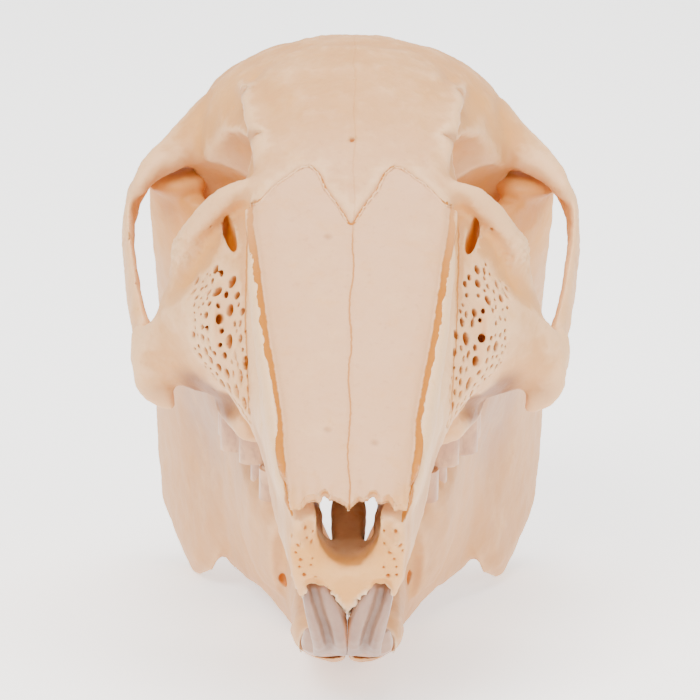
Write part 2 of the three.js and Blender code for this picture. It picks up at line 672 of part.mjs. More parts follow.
const UPPER_INCISOR = [
  [2.7, 9.4, 12.6, 0.8, 0.7, 0.1],
  [2.85, 7.4, 13.6, 1.1, 1.0, 0.1],
  [2.9, 5.0, 13.2, 1.25, 1.15, 0.15],
  [2.45, 3.9, 11.4, 1.42, 1.2, 0.1],
  [1.86, 3.9, 9.0, 1.6, 1.15, 0.0],
  [1.58, 4.6, 6.6, 1.46, 0.85, -0.15],
  [1.56, 5.6, 4.7, 1.42, 0.35, -0.2],
];
const LOWER_INCISOR = [
  [1.6, 22.0, -3.4, 0.8, 0.8],
  [1.75, 16.0, -0.8, 1.2, 1.0],
  [2.0, 11.6, 1.6, 1.75, 1.15],
  [2.15, 9.4, 3.2, 1.95, 1.0],
  [2.0, 8.4, 5.2, 1.75, 0.3],
];
const upperIncisor = chisel(UPPER_INCISOR, 0.45);
const lowerIncisor = chisel(LOWER_INCISOR, 0);
cranium = cranium.subtract(both(chisel(UPPER_INCISOR, 0, GAP)));
// The front wall of each socket ends high, so that the tooth shows up to its root.
const socketFront = limb([
  [1.7, 1.4, 8.0, 1.7, 2.4],
  [2.25, 1.6, 10.6, 1.6, 2.2],
  [2.85, 2.0, 13.0, 1.4, 1.6],
  [3.0, 2.4, 14.6, 0.8, 0.8],
], { up: [0, 1, 0], count: 8, steps: 1 });
cranium = cranium.subtract(both(socketFront));
const peg = limb([
  [1.5, 9.6, 11.6, 0.6, 0.6],
  [1.5, 8.4, 9.2, 0.6, 0.55],
  [1.5, 8.0, 7.2, 0.5, 0.3],
], { up: [0, 1, 0], count: 8, steps: 2 });
cranium = cranium.add(both(peg));

// ---------------------------------------------------------------- lower jaw
const JAW_BODY = [
  { y: 9.6, x: 1.3, wide: 3.0, top: 2.6, bottom: 1.4, mid: 2.0, upper: 2.4, lower: 2.0 },
  { y: 11.0, x: 1.2, wide: 3.75, top: 3.6, bottom: -0.1, mid: 1.7, upper: 2.6, lower: 1.8 },
  { y: 13.0, x: 1.2, wide: 3.95, top: 4.1, bottom: -1.4, mid: 1.5, upper: 2.6, lower: 1.8 },
  { y: 18.0, x: 1.2, wide: 3.9, top: 2.2, bottom: -4.7, mid: -0.8, upper: 2.6, lower: 1.9 },
  { y: 24.0, x: 2.2, wide: 3.1, top: 1.4, bottom: -8.0, mid: -2.2, upper: 2.4, lower: 2.0 },
  { y: 28.5, x: 3.5, wide: 2.2, top: 4.0, bottom: -9.6, mid: -2.4, upper: 2.6, lower: 2.1 },
  { y: 33.0, x: 5.0, wide: 2.0, top: 5.0, bottom: -10.4, mid: -2.2, upper: 2.8, lower: 2.2 },
  { y: 39.0, x: 7.6, wide: 1.9, top: 5.2, bottom: -11.2, mid: -2.2, upper: 2.8, lower: 2.2 },
  { y: 44.0, x: 9.7, wide: 1.7, top: 5.2, bottom: -12.8, mid: -2.4, upper: 2.8, lower: 2.2 },
  { y: 48.0, x: 11.4, wide: 1.1, top: 4.0, bottom: -14.0, mid: -3.0, upper: 2.4, lower: 2.2 },
];
// The thickened upper edge of the jaw that holds the cheek teeth.
const LOWER_BLOCK = [
  { y: 28.6, x: 5.6, wide: 1.6, top: 3.8, bottom: -5.0, mid: 0.0, upper: 2.4, lower: 2.0 },
  { y: 31.0, x: 6.6, wide: 2.2, top: 4.9, bottom: -6.0, mid: 0.6, upper: 3.0, lower: 2.0 },
  { y: 36.0, x: 7.7, wide: 2.4, top: 5.2, bottom: -7.0, mid: 0.6, upper: 3.0, lower: 2.0 },
  { y: 41.0, x: 8.5, wide: 2.3, top: 5.2, bottom: -7.5, mid: 0.6, upper: 3.0, lower: 2.0 },
  { y: 45.0, x: 9.3, wide: 1.9, top: 4.8, bottom: -7.0, mid: 0.4, upper: 2.6, lower: 2.0 },
  { y: 48.5, x: 10.4, wide: 1.1, top: 3.4, bottom: -5.0, mid: 0.0, upper: 2.2, lower: 2.0 },
];
const JAW_BLADE = [
  { z: -18.2, front: 52.6, back: 56.5, xf: 14.6, xb: 15.6, bow: 0.0, half: 0.4 },
  { z: -17.2, front: 50.2, back: 59.5, xf: 14.0, xb: 16.6, bow: 0.2, half: 0.8 },
  { z: -14.5, front: 48.0, back: 63.4, xf: 13.2, xb: 17.8, bow: 0.5, half: 1.0 },
  { z: -10.0, front: 46.0, back: 66.4, xf: 11.8, xb: 18.6, bow: 0.6, half: 0.9 },
  { z: -4.0, front: 44.5, back: 67.6, xf: 10.6, xb: 19.0, bow: 0.6, half: 0.8 },
  { z: 2.0, front: 44.5, back: 66.0, xf: 10.2, xb: 18.6, bow: 0.6, half: 0.8 },
  { z: 7.0, front: 46.6, back: 63.2, xf: 11.0, xb: 18.4, bow: 0.5, half: 0.8 },
  { z: 12.0, front: 48.6, back: 61.8, xf: 12.4, xb: 18.6, bow: 0.5, half: 0.8 },
  { z: 17.0, front: 51.0, back: 61.6, xf: 13.9, xb: 18.9, bow: 0.4, half: 0.9 },
  { z: 20.4, front: 54.0, back: 61.8, xf: 15.2, xb: 18.8, bow: 0.2, half: 1.0 },
];
const condyle = ball(17.1, 58.4, 20.8, 2.2, 3.4, 1.3, [-12, 0, 8], 12);
let jaw = joined([
  body(JAW_BODY, 4.2, 12),
  body(LOWER_BLOCK, 4.0, 12),
  blade(JAW_BLADE, 3.6, 8),
  condyle,
]);
for (const tooth of LOWER_TEETH) {
  jaw = jaw.add(column(tooth, BITE - 7, BITE - 0.15));
}
jaw = jaw.intersect(block(HALF_GAP, 30, 0, 90, -30, 40));
jaw = jaw.subtract(chisel(LOWER_INCISOR, 0, GAP));
jaw = jaw.subtract(cheekPath(GAP));

// ---------------------------------------------------------------- parting into bones
// The bones are cut off one after another; each cut takes a region and leaves a clear gap round it.
const FAR = 120;
let rest = cranium;
const bones = {};
function carve(name, region) {
  bones[name] = rest.intersect(region(0));
  rest = rest.subtract(region(GAP));
}
// An outline moved outwards by `grow`.
function offset(outline, grow) {
  if (!grow) return outline;
  const n = outline.length;
  let area = 0;
  for (let i = 0; i < n; i += 1) {
    const [ax, ay] = outline[i];
    const [bx, by] = outline[(i + 1) % n];
    area += ax * by - bx * ay;
  }
  const turn = Math.sign(area);
  return outline.map((p, i) => {
    const before = outline[(i + n - 1) % n];
    const after = outline[(i + 1) % n];
    const d1 = new THREE.Vector2(p[0] - before[0], p[1] - before[1]).normalize();
    const d2 = new THREE.Vector2(after[0] - p[0], after[1] - p[1]).normalize();
    const n1 = new THREE.Vector2(d1.y, -d1.x);
    const n2 = new THREE.Vector2(d2.y, -d2.x);
    const middle = n1.add(n2).normalize();
    const reach = grow / Math.max(0.5, middle.dot(new THREE.Vector2(d1.y, -d1.x)));
    return [p[0] + turn * middle.x * reach, p[1] + turn * middle.y * reach];
  });
}
// Everything behind the lambdoid suture, with the bar of the base between the ear capsules.
carve("occipital", (g) => joined([
  crossPrism(offset([
    [71.0, 40], [72.5, 27], [73.5, 20], [73.5, -20], [FAR, -20], [FAR, 40],
  ], g), -FAR, FAR),
  block(-5.2 - g, 5.2 + g, 64.6 - g, 80, 0, 17.5 + g),
]));
// Wall between the eye sockets and the base in front of the ears.
carve("sphenoid", (g) => joined([
  block(-5.5 - g, 5.5 + g, 37.6 - g, 66, 0, 28.5 + g),
  block(-20, 20, 50.6 - g, 66, 0, 19.6 + g),
]));

const leftHalf = block(HALF_GAP, FAR, -FAR, FAR, -FAR, FAR);
rest = rest.intersect(leftHalf);

const nasalOutline = [
  ...NASO_FRONTAL,
  ...NASAL_SIDE.slice(1),
  ...NASAL_FRONT,
  [-1, 0.2],
  [-1, 29.9],
];
carve("nasal", (g) => prism(offset(nasalOutline, g), 10, 60).intersect(crossPrism([
  [-6, 19.2 - g], [0, 21.1 - g], [8, 24.0 - g], [20, 28.2 - g], [30, 31.4 - g], [40, 34.4 - g],
  [40, 60], [-6, 60],
], -5, 30)));
rest = rest.subtract(prism([
  ...NASAL_FRONT.map(([x, y]) => [x, y + 0.2]), [-1, 0.4], [-1, -20], [12, -20], [12, 2.4],
], 19.5, 40));
carve("frontal", (g) => prism(offset([
  ...NASO_FRONTAL.map(([x, y]) => [x, y + GAP]),
  [9.6, 36.0], [9.9, 37.6], [12.5, 40.0], [12.5, 58.0], [9.0, 57.2], [5.0, 55.4], [2.4, 55.9],
  [0, 54.8], [-1, 54.8], [-1, 30.2],
], g), 28.8 - g, 60));
carve("parietal", (g) => crossPrism(offset([
  [50, 33.4], [58, 31.6], [66, 27.6], [74, 24.4], [74, 60], [50, 60],
], g), -5, 30));
carve("lacrimal", (g) => block(10.6 - g, 30, 36.0 - g, 42, 25.6 - g, 40));
carve("premaxilla", (g) => joined([
  crossPrism(offset([
    [-20, -20], [19.6, -20], [19.6, 12], [17.6, 18], [16.6, 24], [16.6, 60], [-20, 60],
  ], g), -5, 30),
  prism(offset([
    ...NASAL_SIDE.slice(0, 5).map(([x, y]) => [x - 2, y]).reverse(),
    ...STRIP_SIDE.slice(0, 4).map(([x, y]) => [x - 0.1, y]),
    [8.1, 16],
    [5, 14],
  ], g), 26.6 - g, 60),
]));
carve("squamosal", (g) => block(-5, 30, 50.8 - g, 90, 10, 60));
bones.maxilla = rest;

// ---------------------------------------------------------------- output
const BONE = new THREE.MeshStandardMaterial({ color: 0xe6d2bc, roughness: 0.7 });
const TOOTH = new THREE.MeshStandardMaterial({ color: 0xcfc0b4, roughness: 0.4 });

const kept = [];
function keep(name, piece, material = BONE) {
  kept.push({ name, piece: tidied(largest(piece), FINE), material });
}
function keepPair(name, piece, material = BONE) {
  keep(name + "_left", piece, material);
  const left = kept[kept.length - 1].piece;
  kept.push({ name: name + "_right", piece: mirrored(left), material });
}
keep("occipital", bones.occipital);
keep("sphenoid", bones.sphenoid);
for (const name of [
  "nasal", "premaxilla", "maxilla", "lacrimal", "frontal", "parietal", "squamosal",
]) {
  keepPair(name, bones[name]);
}
keepPair("zygomatic", cheekBone);
keepPair("bulla", bulla);
keepPair("mandible", jaw);
keepPair("upper_incisor", upperIncisor, TOOTH);
keepPair("lower_incisor", lowerIncisor, TOOTH);

// Turned nose down, set on the floor on small flats, with the footprint centred on the origin.
const turnDown = new THREE.Matrix4().makeRotationX(rad(REST_TILT));
const low = v3(1e9, 1e9, 1e9);
const high = v3(-1e9, -1e9, -1e9);
for (const item of kept) {
  const mesh = item.piece.getMesh();
  const geometry = new THREE.BufferGeometry();
  geometry.setAttribute("position",
    new THREE.BufferAttribute(new Float32Array(mesh.vertProperties), 3));
  geometry.setIndex(new THREE.BufferAttribute(new Uint32Array(mesh.triVerts), 1));
  geometry.applyMatrix4(turnDown);
  geometry.computeBoundingBox();
  low.min(geometry.boundingBox.min);
  high.max(geometry.boundingBox.max);
  item.geometry = geometry;
}
const seat = v3(-(low.x + high.x) / 2, -(low.y + high.y) / 2, -(low.z + FLAT));
const aboveFloor = block(-FAR, FAR, -FAR, FAR, 0, FAR);
const skull = new THREE.Group();
skull.name = "rabbit_skull";
for (const { name, geometry, material } of kept) {
  geometry.translate(seat.x, seat.y, seat.z);
  geometry.computeBoundingBox();
  let made = geometry;
  if (geometry.boundingBox.min.z < 0) {
    const cut = largest(solid(geometry).intersect(aboveFloor)).getMesh();
    made = new THREE.BufferGeometry();
    made.setAttribute("position",
      new THREE.BufferAttribute(new Float32Array(cut.vertProperties), 3));
    made.setIndex(new THREE.BufferAttribute(new Uint32Array(cut.triVerts), 1));
  }
  const mesh = new THREE.Mesh(made, material);
  mesh.name = name;
  skull.add(mesh);
}
skull.userData.seat = seat.toArray();

export default skull;
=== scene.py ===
"""Rabbit skull, life size: cranium, lower jaw and teeth at rest on a pale floor."""
import math

import bmesh
import bpy
import numpy as np
from bpy.props import FloatProperty, FloatVectorProperty, PointerProperty
from mathutils import Euler, Matrix, Vector, noise
from mathutils.bvhtree import BVHTree


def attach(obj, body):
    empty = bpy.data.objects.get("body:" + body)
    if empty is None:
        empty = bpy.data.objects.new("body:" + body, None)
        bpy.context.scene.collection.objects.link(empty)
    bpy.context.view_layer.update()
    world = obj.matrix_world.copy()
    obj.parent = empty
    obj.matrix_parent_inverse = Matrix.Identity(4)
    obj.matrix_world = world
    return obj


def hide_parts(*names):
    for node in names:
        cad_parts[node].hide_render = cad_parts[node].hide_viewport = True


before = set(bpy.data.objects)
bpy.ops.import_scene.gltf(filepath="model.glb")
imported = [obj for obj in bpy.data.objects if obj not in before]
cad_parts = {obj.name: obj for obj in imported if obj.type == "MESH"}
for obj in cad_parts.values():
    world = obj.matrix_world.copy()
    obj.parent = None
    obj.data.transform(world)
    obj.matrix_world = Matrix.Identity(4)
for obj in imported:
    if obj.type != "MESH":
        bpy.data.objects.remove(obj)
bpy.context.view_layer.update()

bl_info = {
    "name": "Rabbit Skull",
    "version": (1, 0, 0),
    "blender": (4, 5, 0),
    "location": "View3D > Sidebar > Skull",
    "description": "Builds a life-size rabbit skull on a pale floor",
    "category": "Object",
}

MM = 0.001
# The level skull is turned nose down by this angle, then set on its seat on the floor.
TILT = math.radians(19)
SEAT = Vector((0.0, -34.2939, -0.1664))
SIDES = ("left", "right")
BOTH = (1, -1)
PAIRED = ("premaxilla", "maxilla", "lacrimal", "frontal", "parietal", "squamosal", "zygomatic",
          "bulla")
NASALS = [f"nasal_{side}" for side in SIDES]
FRONTALS = [f"frontal_{side}" for side in SIDES]
UPPER_INCISORS = [f"upper_incisor_{side}" for side in SIDES]
SIDE_BONES = [f"{bone}_{side}" for bone in ("premaxilla", "maxilla") for side in SIDES]
CRANIAL = (["occipital", "sphenoid"]
           + [f"{bone}_{side}" for bone in PAIRED for side in SIDES])

# Copies of the solids are grown by so many millimetres, which closes the gaps between the bones.
GROWTH = {"cranium": 0.22, "nasals": 0.38, "jaw": 0.12, "incisors": 0.08}
# Grain of each remeshed piece, in metres. The cranium's is a setting.
GRAIN = {"nasals": 0.00018, "jaw": 0.00026, "incisors": 0.00012, "pores": 0.00014}
CRANIUM_FACES = 195000
FAR_OFF = 9.0  # a distance in millimetres that is beyond the reach of every seam


def place(x, y, z):
    """A point of the level skull in the scene.

    It is given in millimetres: x to the skull's left, y back from the nose, z up.
    """
    c, s = math.cos(TILT), math.sin(TILT)
    return (Vector((x, y * c - z * s, y * s + z * c)) + SEAT) * MM


def placed(points):
    """Points of the level skull, as an array, in the scene."""
    return np.array([place(*point) for point in points])


def levelled(p):
    """Directions in the scene, as an array, turned to the level skull's axes."""
    c, s = math.cos(TILT), math.sin(TILT)
    return np.stack([p[:, 0], p[:, 1] * c + p[:, 2] * s, -p[:, 1] * s + p[:, 2] * c], 1)


def level(points):
    """Scene points, as an array in metres, back in the level skull's millimetres."""
    return levelled(points / MM - np.array(SEAT))


# ---------------------------------------------------------------- measured lines, in millimetres
# Small pits with a dark floor: x, y, z and radius.
PITS = [
    (0.0, 40.9, 37.0, 0.26), (-12.7, 36.4, 30.3, 0.12), (12.7, 36.4, 30.3, 0.2),
    (-4.3, 1.2, 18.9, 0.2), (-4.5, 1.6, 17.9, 0.14), (-4.1, 1.7, 17.0, 0.2),
    (-4.2, 2.0, 16.1, 0.15),
    (-3.8, 2.2, 15.1, 0.2), (-3.2, 2.0, 16.4, 0.13), (-2.8, 2.4, 14.9, 0.16),
    (4.1, 1.3, 20.3, 0.18), (4.3, 1.5, 19.2, 0.22), (3.6, 1.4, 18.0, 0.22), (4.0, 1.8, 17.2, 0.16),
    (3.5, 2.2, 15.1, 0.22), (3.1, 2.0, 16.2, 0.14), (4.2, 2.0, 16.2, 0.14),
]
PIT_COUNT, PIT_SPACING = 34, 0.75
# The lattice of the snout's side: openings tried on each side, its lower, upper and rear edge,
# and the bone that stays between two openings.
LATTICE_TRIES = 5200
LATTICE_LOW, LATTICE_TOP, LATTICE_BACK = 17.2, 29.2, 35.4
STRUT = 0.13
REACH = 3.0  # an opening is dropped where the bone is further than this from its place
# The upper front tooth's middle line from root to tip: z and x.
INCISOR_LINE = [(13.2, 2.9), (11.4, 2.45), (9.0, 1.86), (6.6, 1.58), (4.7, 1.56)]
# Openings of the nerve canal on the outside of the lower jaw.
FORAMINA = {"left": (6.1, 27.6, -1.8), "right": (-5.8, 28.3, -2.6)}
# The slot in front of the eye, and the notches of the brow over it: centre and half sizes.
SLOT = ((11.0, 35.4, 29.9), (0.5, 2.6, 1.8))
NOTCHES = [((9.7, 42.7, 36.3), (1.6, 0.5, 1.7)), ((10.9, 51.6, 35.4), (1.5, 1.5, 1.9))]
# Cheek teeth: centre x, centre y, half width across, half length.
UPPER_TEETH = [
    (8.8, 32.2, 1.3, 0.9), (9.6, 34.5, 2.3, 1.15), (9.8, 37.1, 2.4, 1.2), (9.7, 39.7, 2.35, 1.2),
    (9.4, 42.2, 2.15, 1.1), (8.8, 44.3, 1.1, 0.75),
]
LOWER_TEETH = [
    (6.9, 31.9, 1.35, 1.5), (7.5, 34.9, 1.6, 1.3), (8.0, 37.6, 1.65, 1.25), (8.4, 40.2, 1.6, 1.2),
    (8.7, 42.6, 0.9, 0.9),
]
# Height of the gum end and of the biting end of each row.
TOOTH_ENDS = {"upper": (12.2, 8.05), "lower": (4.6, 7.85)}
# Soft round forms on both sides of the cranium: height (below 0 in a hollow), centre and radius.
SWELLINGS = [
    (0.3, (3.0, 14.0, 13.5), 7.0), (-0.9, (10.6, 29.0, 15.6), 2.4),
    (-0.5, (17.6, 35.6, 15.0), 2.0), (0.35, (15.0, 37.8, 27.4), 2.4),
]
# The hollow under the cheek arch's front root, and how far it is set back and down.
CHEEK_HOLLOW = (1.0, (13.3, 31.6, 16.0), 4.8)
HOLLOW_SHIFT = (0, 1.6, -1.7)
KNOB = (15.2, 37.5, 27.4)  # the rough knob in front of the eye
# Small dents of the nasals, as the real bones have them, with painted shade in them.
NASAL_DENTS = [(-2.1, 29.3, 33.3), (-1.9, 8.1, 26.2), (2.2, 6.8, 25.7)]
# Soft round spots of colour on both sides: strength, centre and radius.
# Pale spots; the one on the rear wall of the eye's socket is painted light, lifting the shade that
# falls there.
PALE_SPOTS = [
    (0.9, KNOB, 3.2), (0.6, (11.0, 53.5, 26.6), 5.0), (0.7, (11.4, 31.5, 23.0), 6.5),
]
# Painted shade, in spots where shade falls: the hollow under the cheek arch's front root, a small
# hollow behind it, and the brow's two notches.
PAINTED_SHADE_SPOTS = [
    (1.8, (13.0, 32.8, 15.2), 4.2), (0.9, (11.4, 31.4, 14.4), 3.4), (0.7, (17.8, 35.4, 14.6), 2.6),
    (0.8, (10.8, 51.3, 35.2), 2.6), (0.7, (9.6, 42.7, 36.2), 1.6),
]
OCHRE_SPOTS = [
    (0.5, (12.2, 57.0, 31.5), 6.0), (0.45, (16.5, 57.0, 20.0), 7.0), (0.5, (9.4, 24.0, 19.5), 5.0),
    (1.0, (3.6, 1.8, 17.2), 5.6), (0.7, (1.5, 4.5, 13.0), 5.0),
]
ARCH_OCHRE = [(0.7, (19.4, 40.0, 17.0), 5.0)]
LIP_OCHRE = [(0.8, (5.4, 1.5, 21.5), 3.5)]
JAW_HOLLOW = [(-0.7, (14.2, 51.0, -2.0), 7.0)]
JAW_GREY = [(1.3, (14.4, 52.0, 2.0), 9.0)]
JAW_OCHRE = [(0.5, (8.0, 38.0, -4.0), 9.0), (0.5, (3.6, 10.5, 2.6), 2.4)]
# Painted shade: a spot on the outer side of each jaw half, where shade falls.
JAW_PAINTED_SHADE = [(0.5, (12.5, 46.5, 6.0), 5.0)]
# Seen from above: sutures as (x, y). The two sides of the real skull differ a little.
NASAL_SIDE = {
    "right": [(-8.7, 34.6), (-8.3, 31.1), (-7.7, 26.5), (-7.3, 22.4), (-6.9, 17.5), (-6.2, 13.8),
              (-5.8, 10.8), (-5.6, 7.8), (-5.5, 5.5), (-5.1, 1.5)],
    "left": [(9.3, 36.5), (9.1, 33.0), (8.4, 30.0), (8.0, 26.7), (7.2, 20.3), (6.7, 16.2),
             (6.1, 12.9), (5.8, 9.8), (5.5, 5.9), (4.9, 1.5)],
}
STRIP_SIDE = {
    "right": [(-9.3, 35.6), (-9.4, 32.0), (-9.4, 27.0), (-9.0, 23.0), (-8.4, 18.0), (-7.9, 14.0),
              (-7.4, 10.0)],
    "left": [(9.7, 36.4), (9.7, 32.0), (9.5, 27.0), (9.1, 23.0), (8.5, 18.0), (8.0, 14.0),
             (7.5, 10.0)],
}


# What a bone's material reads from its mesh: the seams, with each line's width and wander in
# millimetres, and the other marks.
SEAM_LINES = (("seam_back", 0.11, 0.25), ("seam_side", 0.2, 0.35), ("seam_thin", 0.10, 0.3))
MARKS = ("depth", "warm", "pink", "pale", "shade", "ochre", "grey", "tooth")
# Lamps: place and size in metres, and power in watts.
LAMPS = {
    "key": ((-0.30, -0.55, 0.70), 0.40, 8.0),
    "fill": ((0.6, -0.55, 0.30), 0.6, 3.0),
    "top": ((0.05, 0.15, 0.85), 0.5, 9.0),
}
LAMP_AIM = Vector((0, 0, 0.03))
WORLD_LIGHT, FLOOR_GLOW = 1.15, 0.9
VIEW_CENTRE = (0, 42, 14)  # the level skull's point that the camera looks at
VIEW_DISTANCE = 0.52


class Socket:
    """A shader socket that Python operators turn into Math nodes."""

    def __init__(self, shader, link):
        self.shader, self.link = shader, link

    def _math(self, operation, *values, clamp=False):
        return self.shader.node("Math", {"operation": operation, "use_clamp": clamp}, *values)

    def __add__(self, other):
        return self._math("ADD", self, other)

    def __sub__(self, other):
        return self._math("SUBTRACT", self, other)

    def __rsub__(self, other):
        return self._math("SUBTRACT", other, self)

    def __mul__(self, other):
        return self._math("MULTIPLY", self, other)

    def __abs__(self):
        return self._math("ABSOLUTE", self)

    __radd__, __rmul__ = __add__, __mul__

    def clamped(self):
        return self._math("ADD", self, 0.0, clamp=True)

    def ramp(self, low, high):
        """0 at low and 1 at high, in a soft step."""
        return self.shader.node("MapRange", {"interpolation_type": "SMOOTHSTEP"},
                                Value=self, **{"From Min": low, "From Max": high})


class Shader:
    """One procedural material and its nodes."""

    def __init__(self, name):
        self.material = bpy.data.materials.new(name)
        self.material.use_nodes = True
        self.tree = self.material.node_tree
        self.tree.nodes.clear()

    def node(self, kind, settings=None, *values, out=0, sockets=None, **named):
        """Makes a node, sets its settings and then its sockets' values or links.

        It returns the output of that name or number.
        """
        made = self.tree.nodes.new("ShaderNode" + kind)
        for key, value in (settings or {}).items():
            setattr(made, key, value)
        for key, value in [*enumerate(values), *(sockets or {}).items(), *named.items()]:
            socket = made.inputs[key]
            if isinstance(value, Socket):
                self.tree.links.new(value.link, socket)
            elif isinstance(value, tuple) and len(value) == 3 and socket.type == "RGBA":
                socket.default_value = (*value, 1)
            else:
                socket.default_value = value
        return Socket(self, made.outputs[out]) if made.outputs else None

    def where(self):
        return self.node("TexCoord", out="Object")

    def mark(self, name):
        """A number kept on the mesh's points."""
        return self.node("Attribute", {"attribute_name": name}, out="Fac")

    def noise(self, size, detail=3.0, rough=0.55, at=None):
        """Cloudy unevenness of that size in millimetres."""
        return self.node("TexNoise", None, Vector=at or self.where(), Scale=1 / (size * MM),
                         Detail=detail, Roughness=rough, out="Fac")

    def cells(self, size):
        """Rounded grains of that size in millimetres."""
        return self.node("TexVoronoi", None, Vector=self.where(), Scale=1 / (size * MM),
                         out="Distance")

    def mix(self, amount, first, second):
        return self.node("Mix", {"data_type": "RGBA"}, out=2,
                         sockets={0: amount, 6: first, 7: second})

    def finish(self, colour, rough, height=None, strength=0.3, depth=0.1, **constants):
        """Ends the material: what varies over it, then the numbers that are the same all over."""
        varying = {"Base Color": colour, "Roughness": rough}
        if height is not None:
            varying["Normal"] = self.node("Bump", None, Height=height, Strength=strength,
                                          Distance=depth * MM)
        same = {name.replace("_", " "): value for name, value in constants.items()}
        surface = self.node("BsdfPrincipled", None, sockets={**varying, **same})
        self.node("OutputMaterial", None, Surface=surface)
        return self.material


def srgb(r, g, b):
    """A colour of 0 to 255, as a screen shows it, in the shader's linear numbers."""
    return tuple(((v / 255 + 0.055) / 1.055) ** 2.4 if v > 10 else v / 255 / 12.92
                 for v in (r, g, b))


# ---------------------------------------------------------------- mesh helpers
def bone_copy(names, grow):
    """A bmesh with merged copies of the frame's solids, each grown by `grow` millimetres."""
    whole = bmesh.new()
    for name in names:
        bone = bmesh.new()
        bone.from_mesh(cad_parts[name].data)
        bmesh.ops.remove_doubles(bone, verts=bone.verts, dist=1e-6)
        bone.normal_update()
        for vert in bone.verts:
            vert.co += vert.normal * min(vert.calc_shell_factor(), 1.6) * (grow * MM)
        held = bpy.data.meshes.new("held")
        bone.to_mesh(held)
        bone.free()
        whole.from_mesh(held)
        bpy.data.meshes.remove(held)
    return whole


def object_of(name, shape):
    """An object in the scene made of that bmesh, which is freed."""
    mesh = bpy.data.meshes.new(name)
    shape.to_mesh(mesh)
    shape.free()
    made = bpy.data.objects.new(name, mesh)
    bpy.context.scene.collection.objects.link(made)
    return made


def applied(obj, kind, **settings):
    """Adds a modifier, and makes its result the object's mesh."""
    modifier = obj.modifiers.new(kind.lower(), kind)
    for key, value in settings.items():
        setattr(modifier, key, value)
    graph = bpy.context.evaluated_depsgraph_get()
    mesh = bpy.data.meshes.new_from_object(obj.evaluated_get(graph))
    obj.modifiers.clear()
    old, obj.data = obj.data, mesh
    mesh.name = obj.name
    bpy.data.meshes.remove(old)
    return obj


def discarded(obj):
    """Takes a helper object out of the scene, with its mesh."""
    bpy.data.meshes.remove(obj.data)


def carved(obj, cutter):
    """Cuts a closed body out of the object, and discards it."""
    applied(obj, "BOOLEAN", operation="DIFFERENCE", solver="MANIFOLD", object=cutter)
    discarded(cutter)
    applied(obj, "TRIANGULATE")


def per_point(obj, what):
    """A vector of every point of the mesh, as an array."""
    flat = np.zeros(len(obj.data.vertices) * 3)
    obj.data.vertices.foreach_get(what, flat)
    return flat.reshape(-1, 3)


def points_of(obj):
    return per_point(obj, "co")


def normals_of(obj):
    return per_point(obj, "normal")


def moved(obj, points):
    """Sets the mesh's points to an array of scene points."""
    obj.data.vertices.foreach_set("co", points.ravel())
    obj.data.update()


def pushed(obj, push):
    """Moves the points outwards along their normals: one distance, or one for each, in mm."""
    moved(obj, points_of(obj) + normals_of(obj) * np.reshape(push * MM, (-1, 1)))


def marked(obj, name, values):
    """Keeps a number for every point on the mesh, for the material."""
    layer = obj.data.attributes.new(name, "FLOAT", "POINT")
    layer.data.foreach_set("value", np.asarray(values, dtype=np.float32))


def group(obj, name, weights):
    """Adds a vertex group with the given weights, in even steps."""
    fine = 20
    made = obj.vertex_groups.new(name=name)
    steps = np.round(np.clip(weights, 0, 1) * fine).astype(int)
    for step in range(1, fine + 1):
        which = np.nonzero(steps == step)[0]
        if len(which):
            made.add(which.tolist(), step / fine, "REPLACE")


def soft_step(values, low, high):
    """0 at low and 1 at high, with soft ends."""
    t = np.clip((values - low) / (high - low), 0, 1)
    return t * t * (3 - 2 * t)


def line_distance(flat, line):
    """Signed distance of points (x, y) to a line that runs along y: above 0 where x is larger."""
    best = np.full(len(flat), 1e9)
    for (ax, ay), (bx, by) in zip(line, line[1:]):
        d = np.array([bx - ax, by - ay])
        t = np.clip(((flat - (ax, ay)) @ d) / (d @ d), 0, 1)
        best = np.minimum(best, np.hypot(flat[:, 0] - ax - t * d[0], flat[:, 1] - ay - t * d[1]))
    order = sorted(line, key=lambda p: p[1])
    edge = np.interp(flat[:, 1], [p[1] for p in order], [p[0] for p in order])
    return best * np.where(flat[:, 0] > edge, 1, -1)


def near(points, centre, radius):
    """1 at a level-skull point, falling softly to 0 at `radius` millimetres."""
    return 1 - soft_step(np.linalg.norm(points - np.array(centre), axis=1), 0, radius)


def spots(points, rows, sides=BOTH):
    """Soft round spots, given by strength, centre and radius, summed over the skull's sides."""
    return sum(strength * near(points, (s * x, y, z), radius)
               for s in sides for strength, (x, y, z), radius in rows)


def away_from(points, names):
    """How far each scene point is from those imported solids, in millimetres."""
    solids = bone_copy(names, 0)
    tree = BVHTree.FromBMesh(solids)
    solids.free()
    return np.array([tree.find_nearest(Vector(v))[3] for v in points]) / MM


def joint(points, names, within=0.3):
    """How far each point is from the seam with those bones: 0 within the joint itself."""
    return np.maximum(away_from(points, names) - within, 0)


def bell(values, width):
    """1 at zero, falling to a third at `width` on either side."""
    return np.exp(-(values / width) ** 2)


def relief(obj):
    """How far a smoothed surface lies outside this one, in millimetres: above 0 in hollows."""
    points, normals = points_of(obj), normals_of(obj)
    copy = bpy.data.objects.new("relief", obj.data.copy())
    bpy.context.scene.collection.objects.link(copy)
    applied(copy, "SMOOTH", factor=0.8, iterations=45)
    out = ((points_of(copy) - points) * normals).sum(1) / MM
    discarded(copy)
    return out


def ready(obj, material, slot, *nodes):
    """The finish that every piece of the skull gets."""
    for face in obj.data.polygons:
        face.use_smooth = True
    obj.data.materials.clear()
    obj.data.materials.append(material)
    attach(obj, "root")
    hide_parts(*nodes)
    return obj


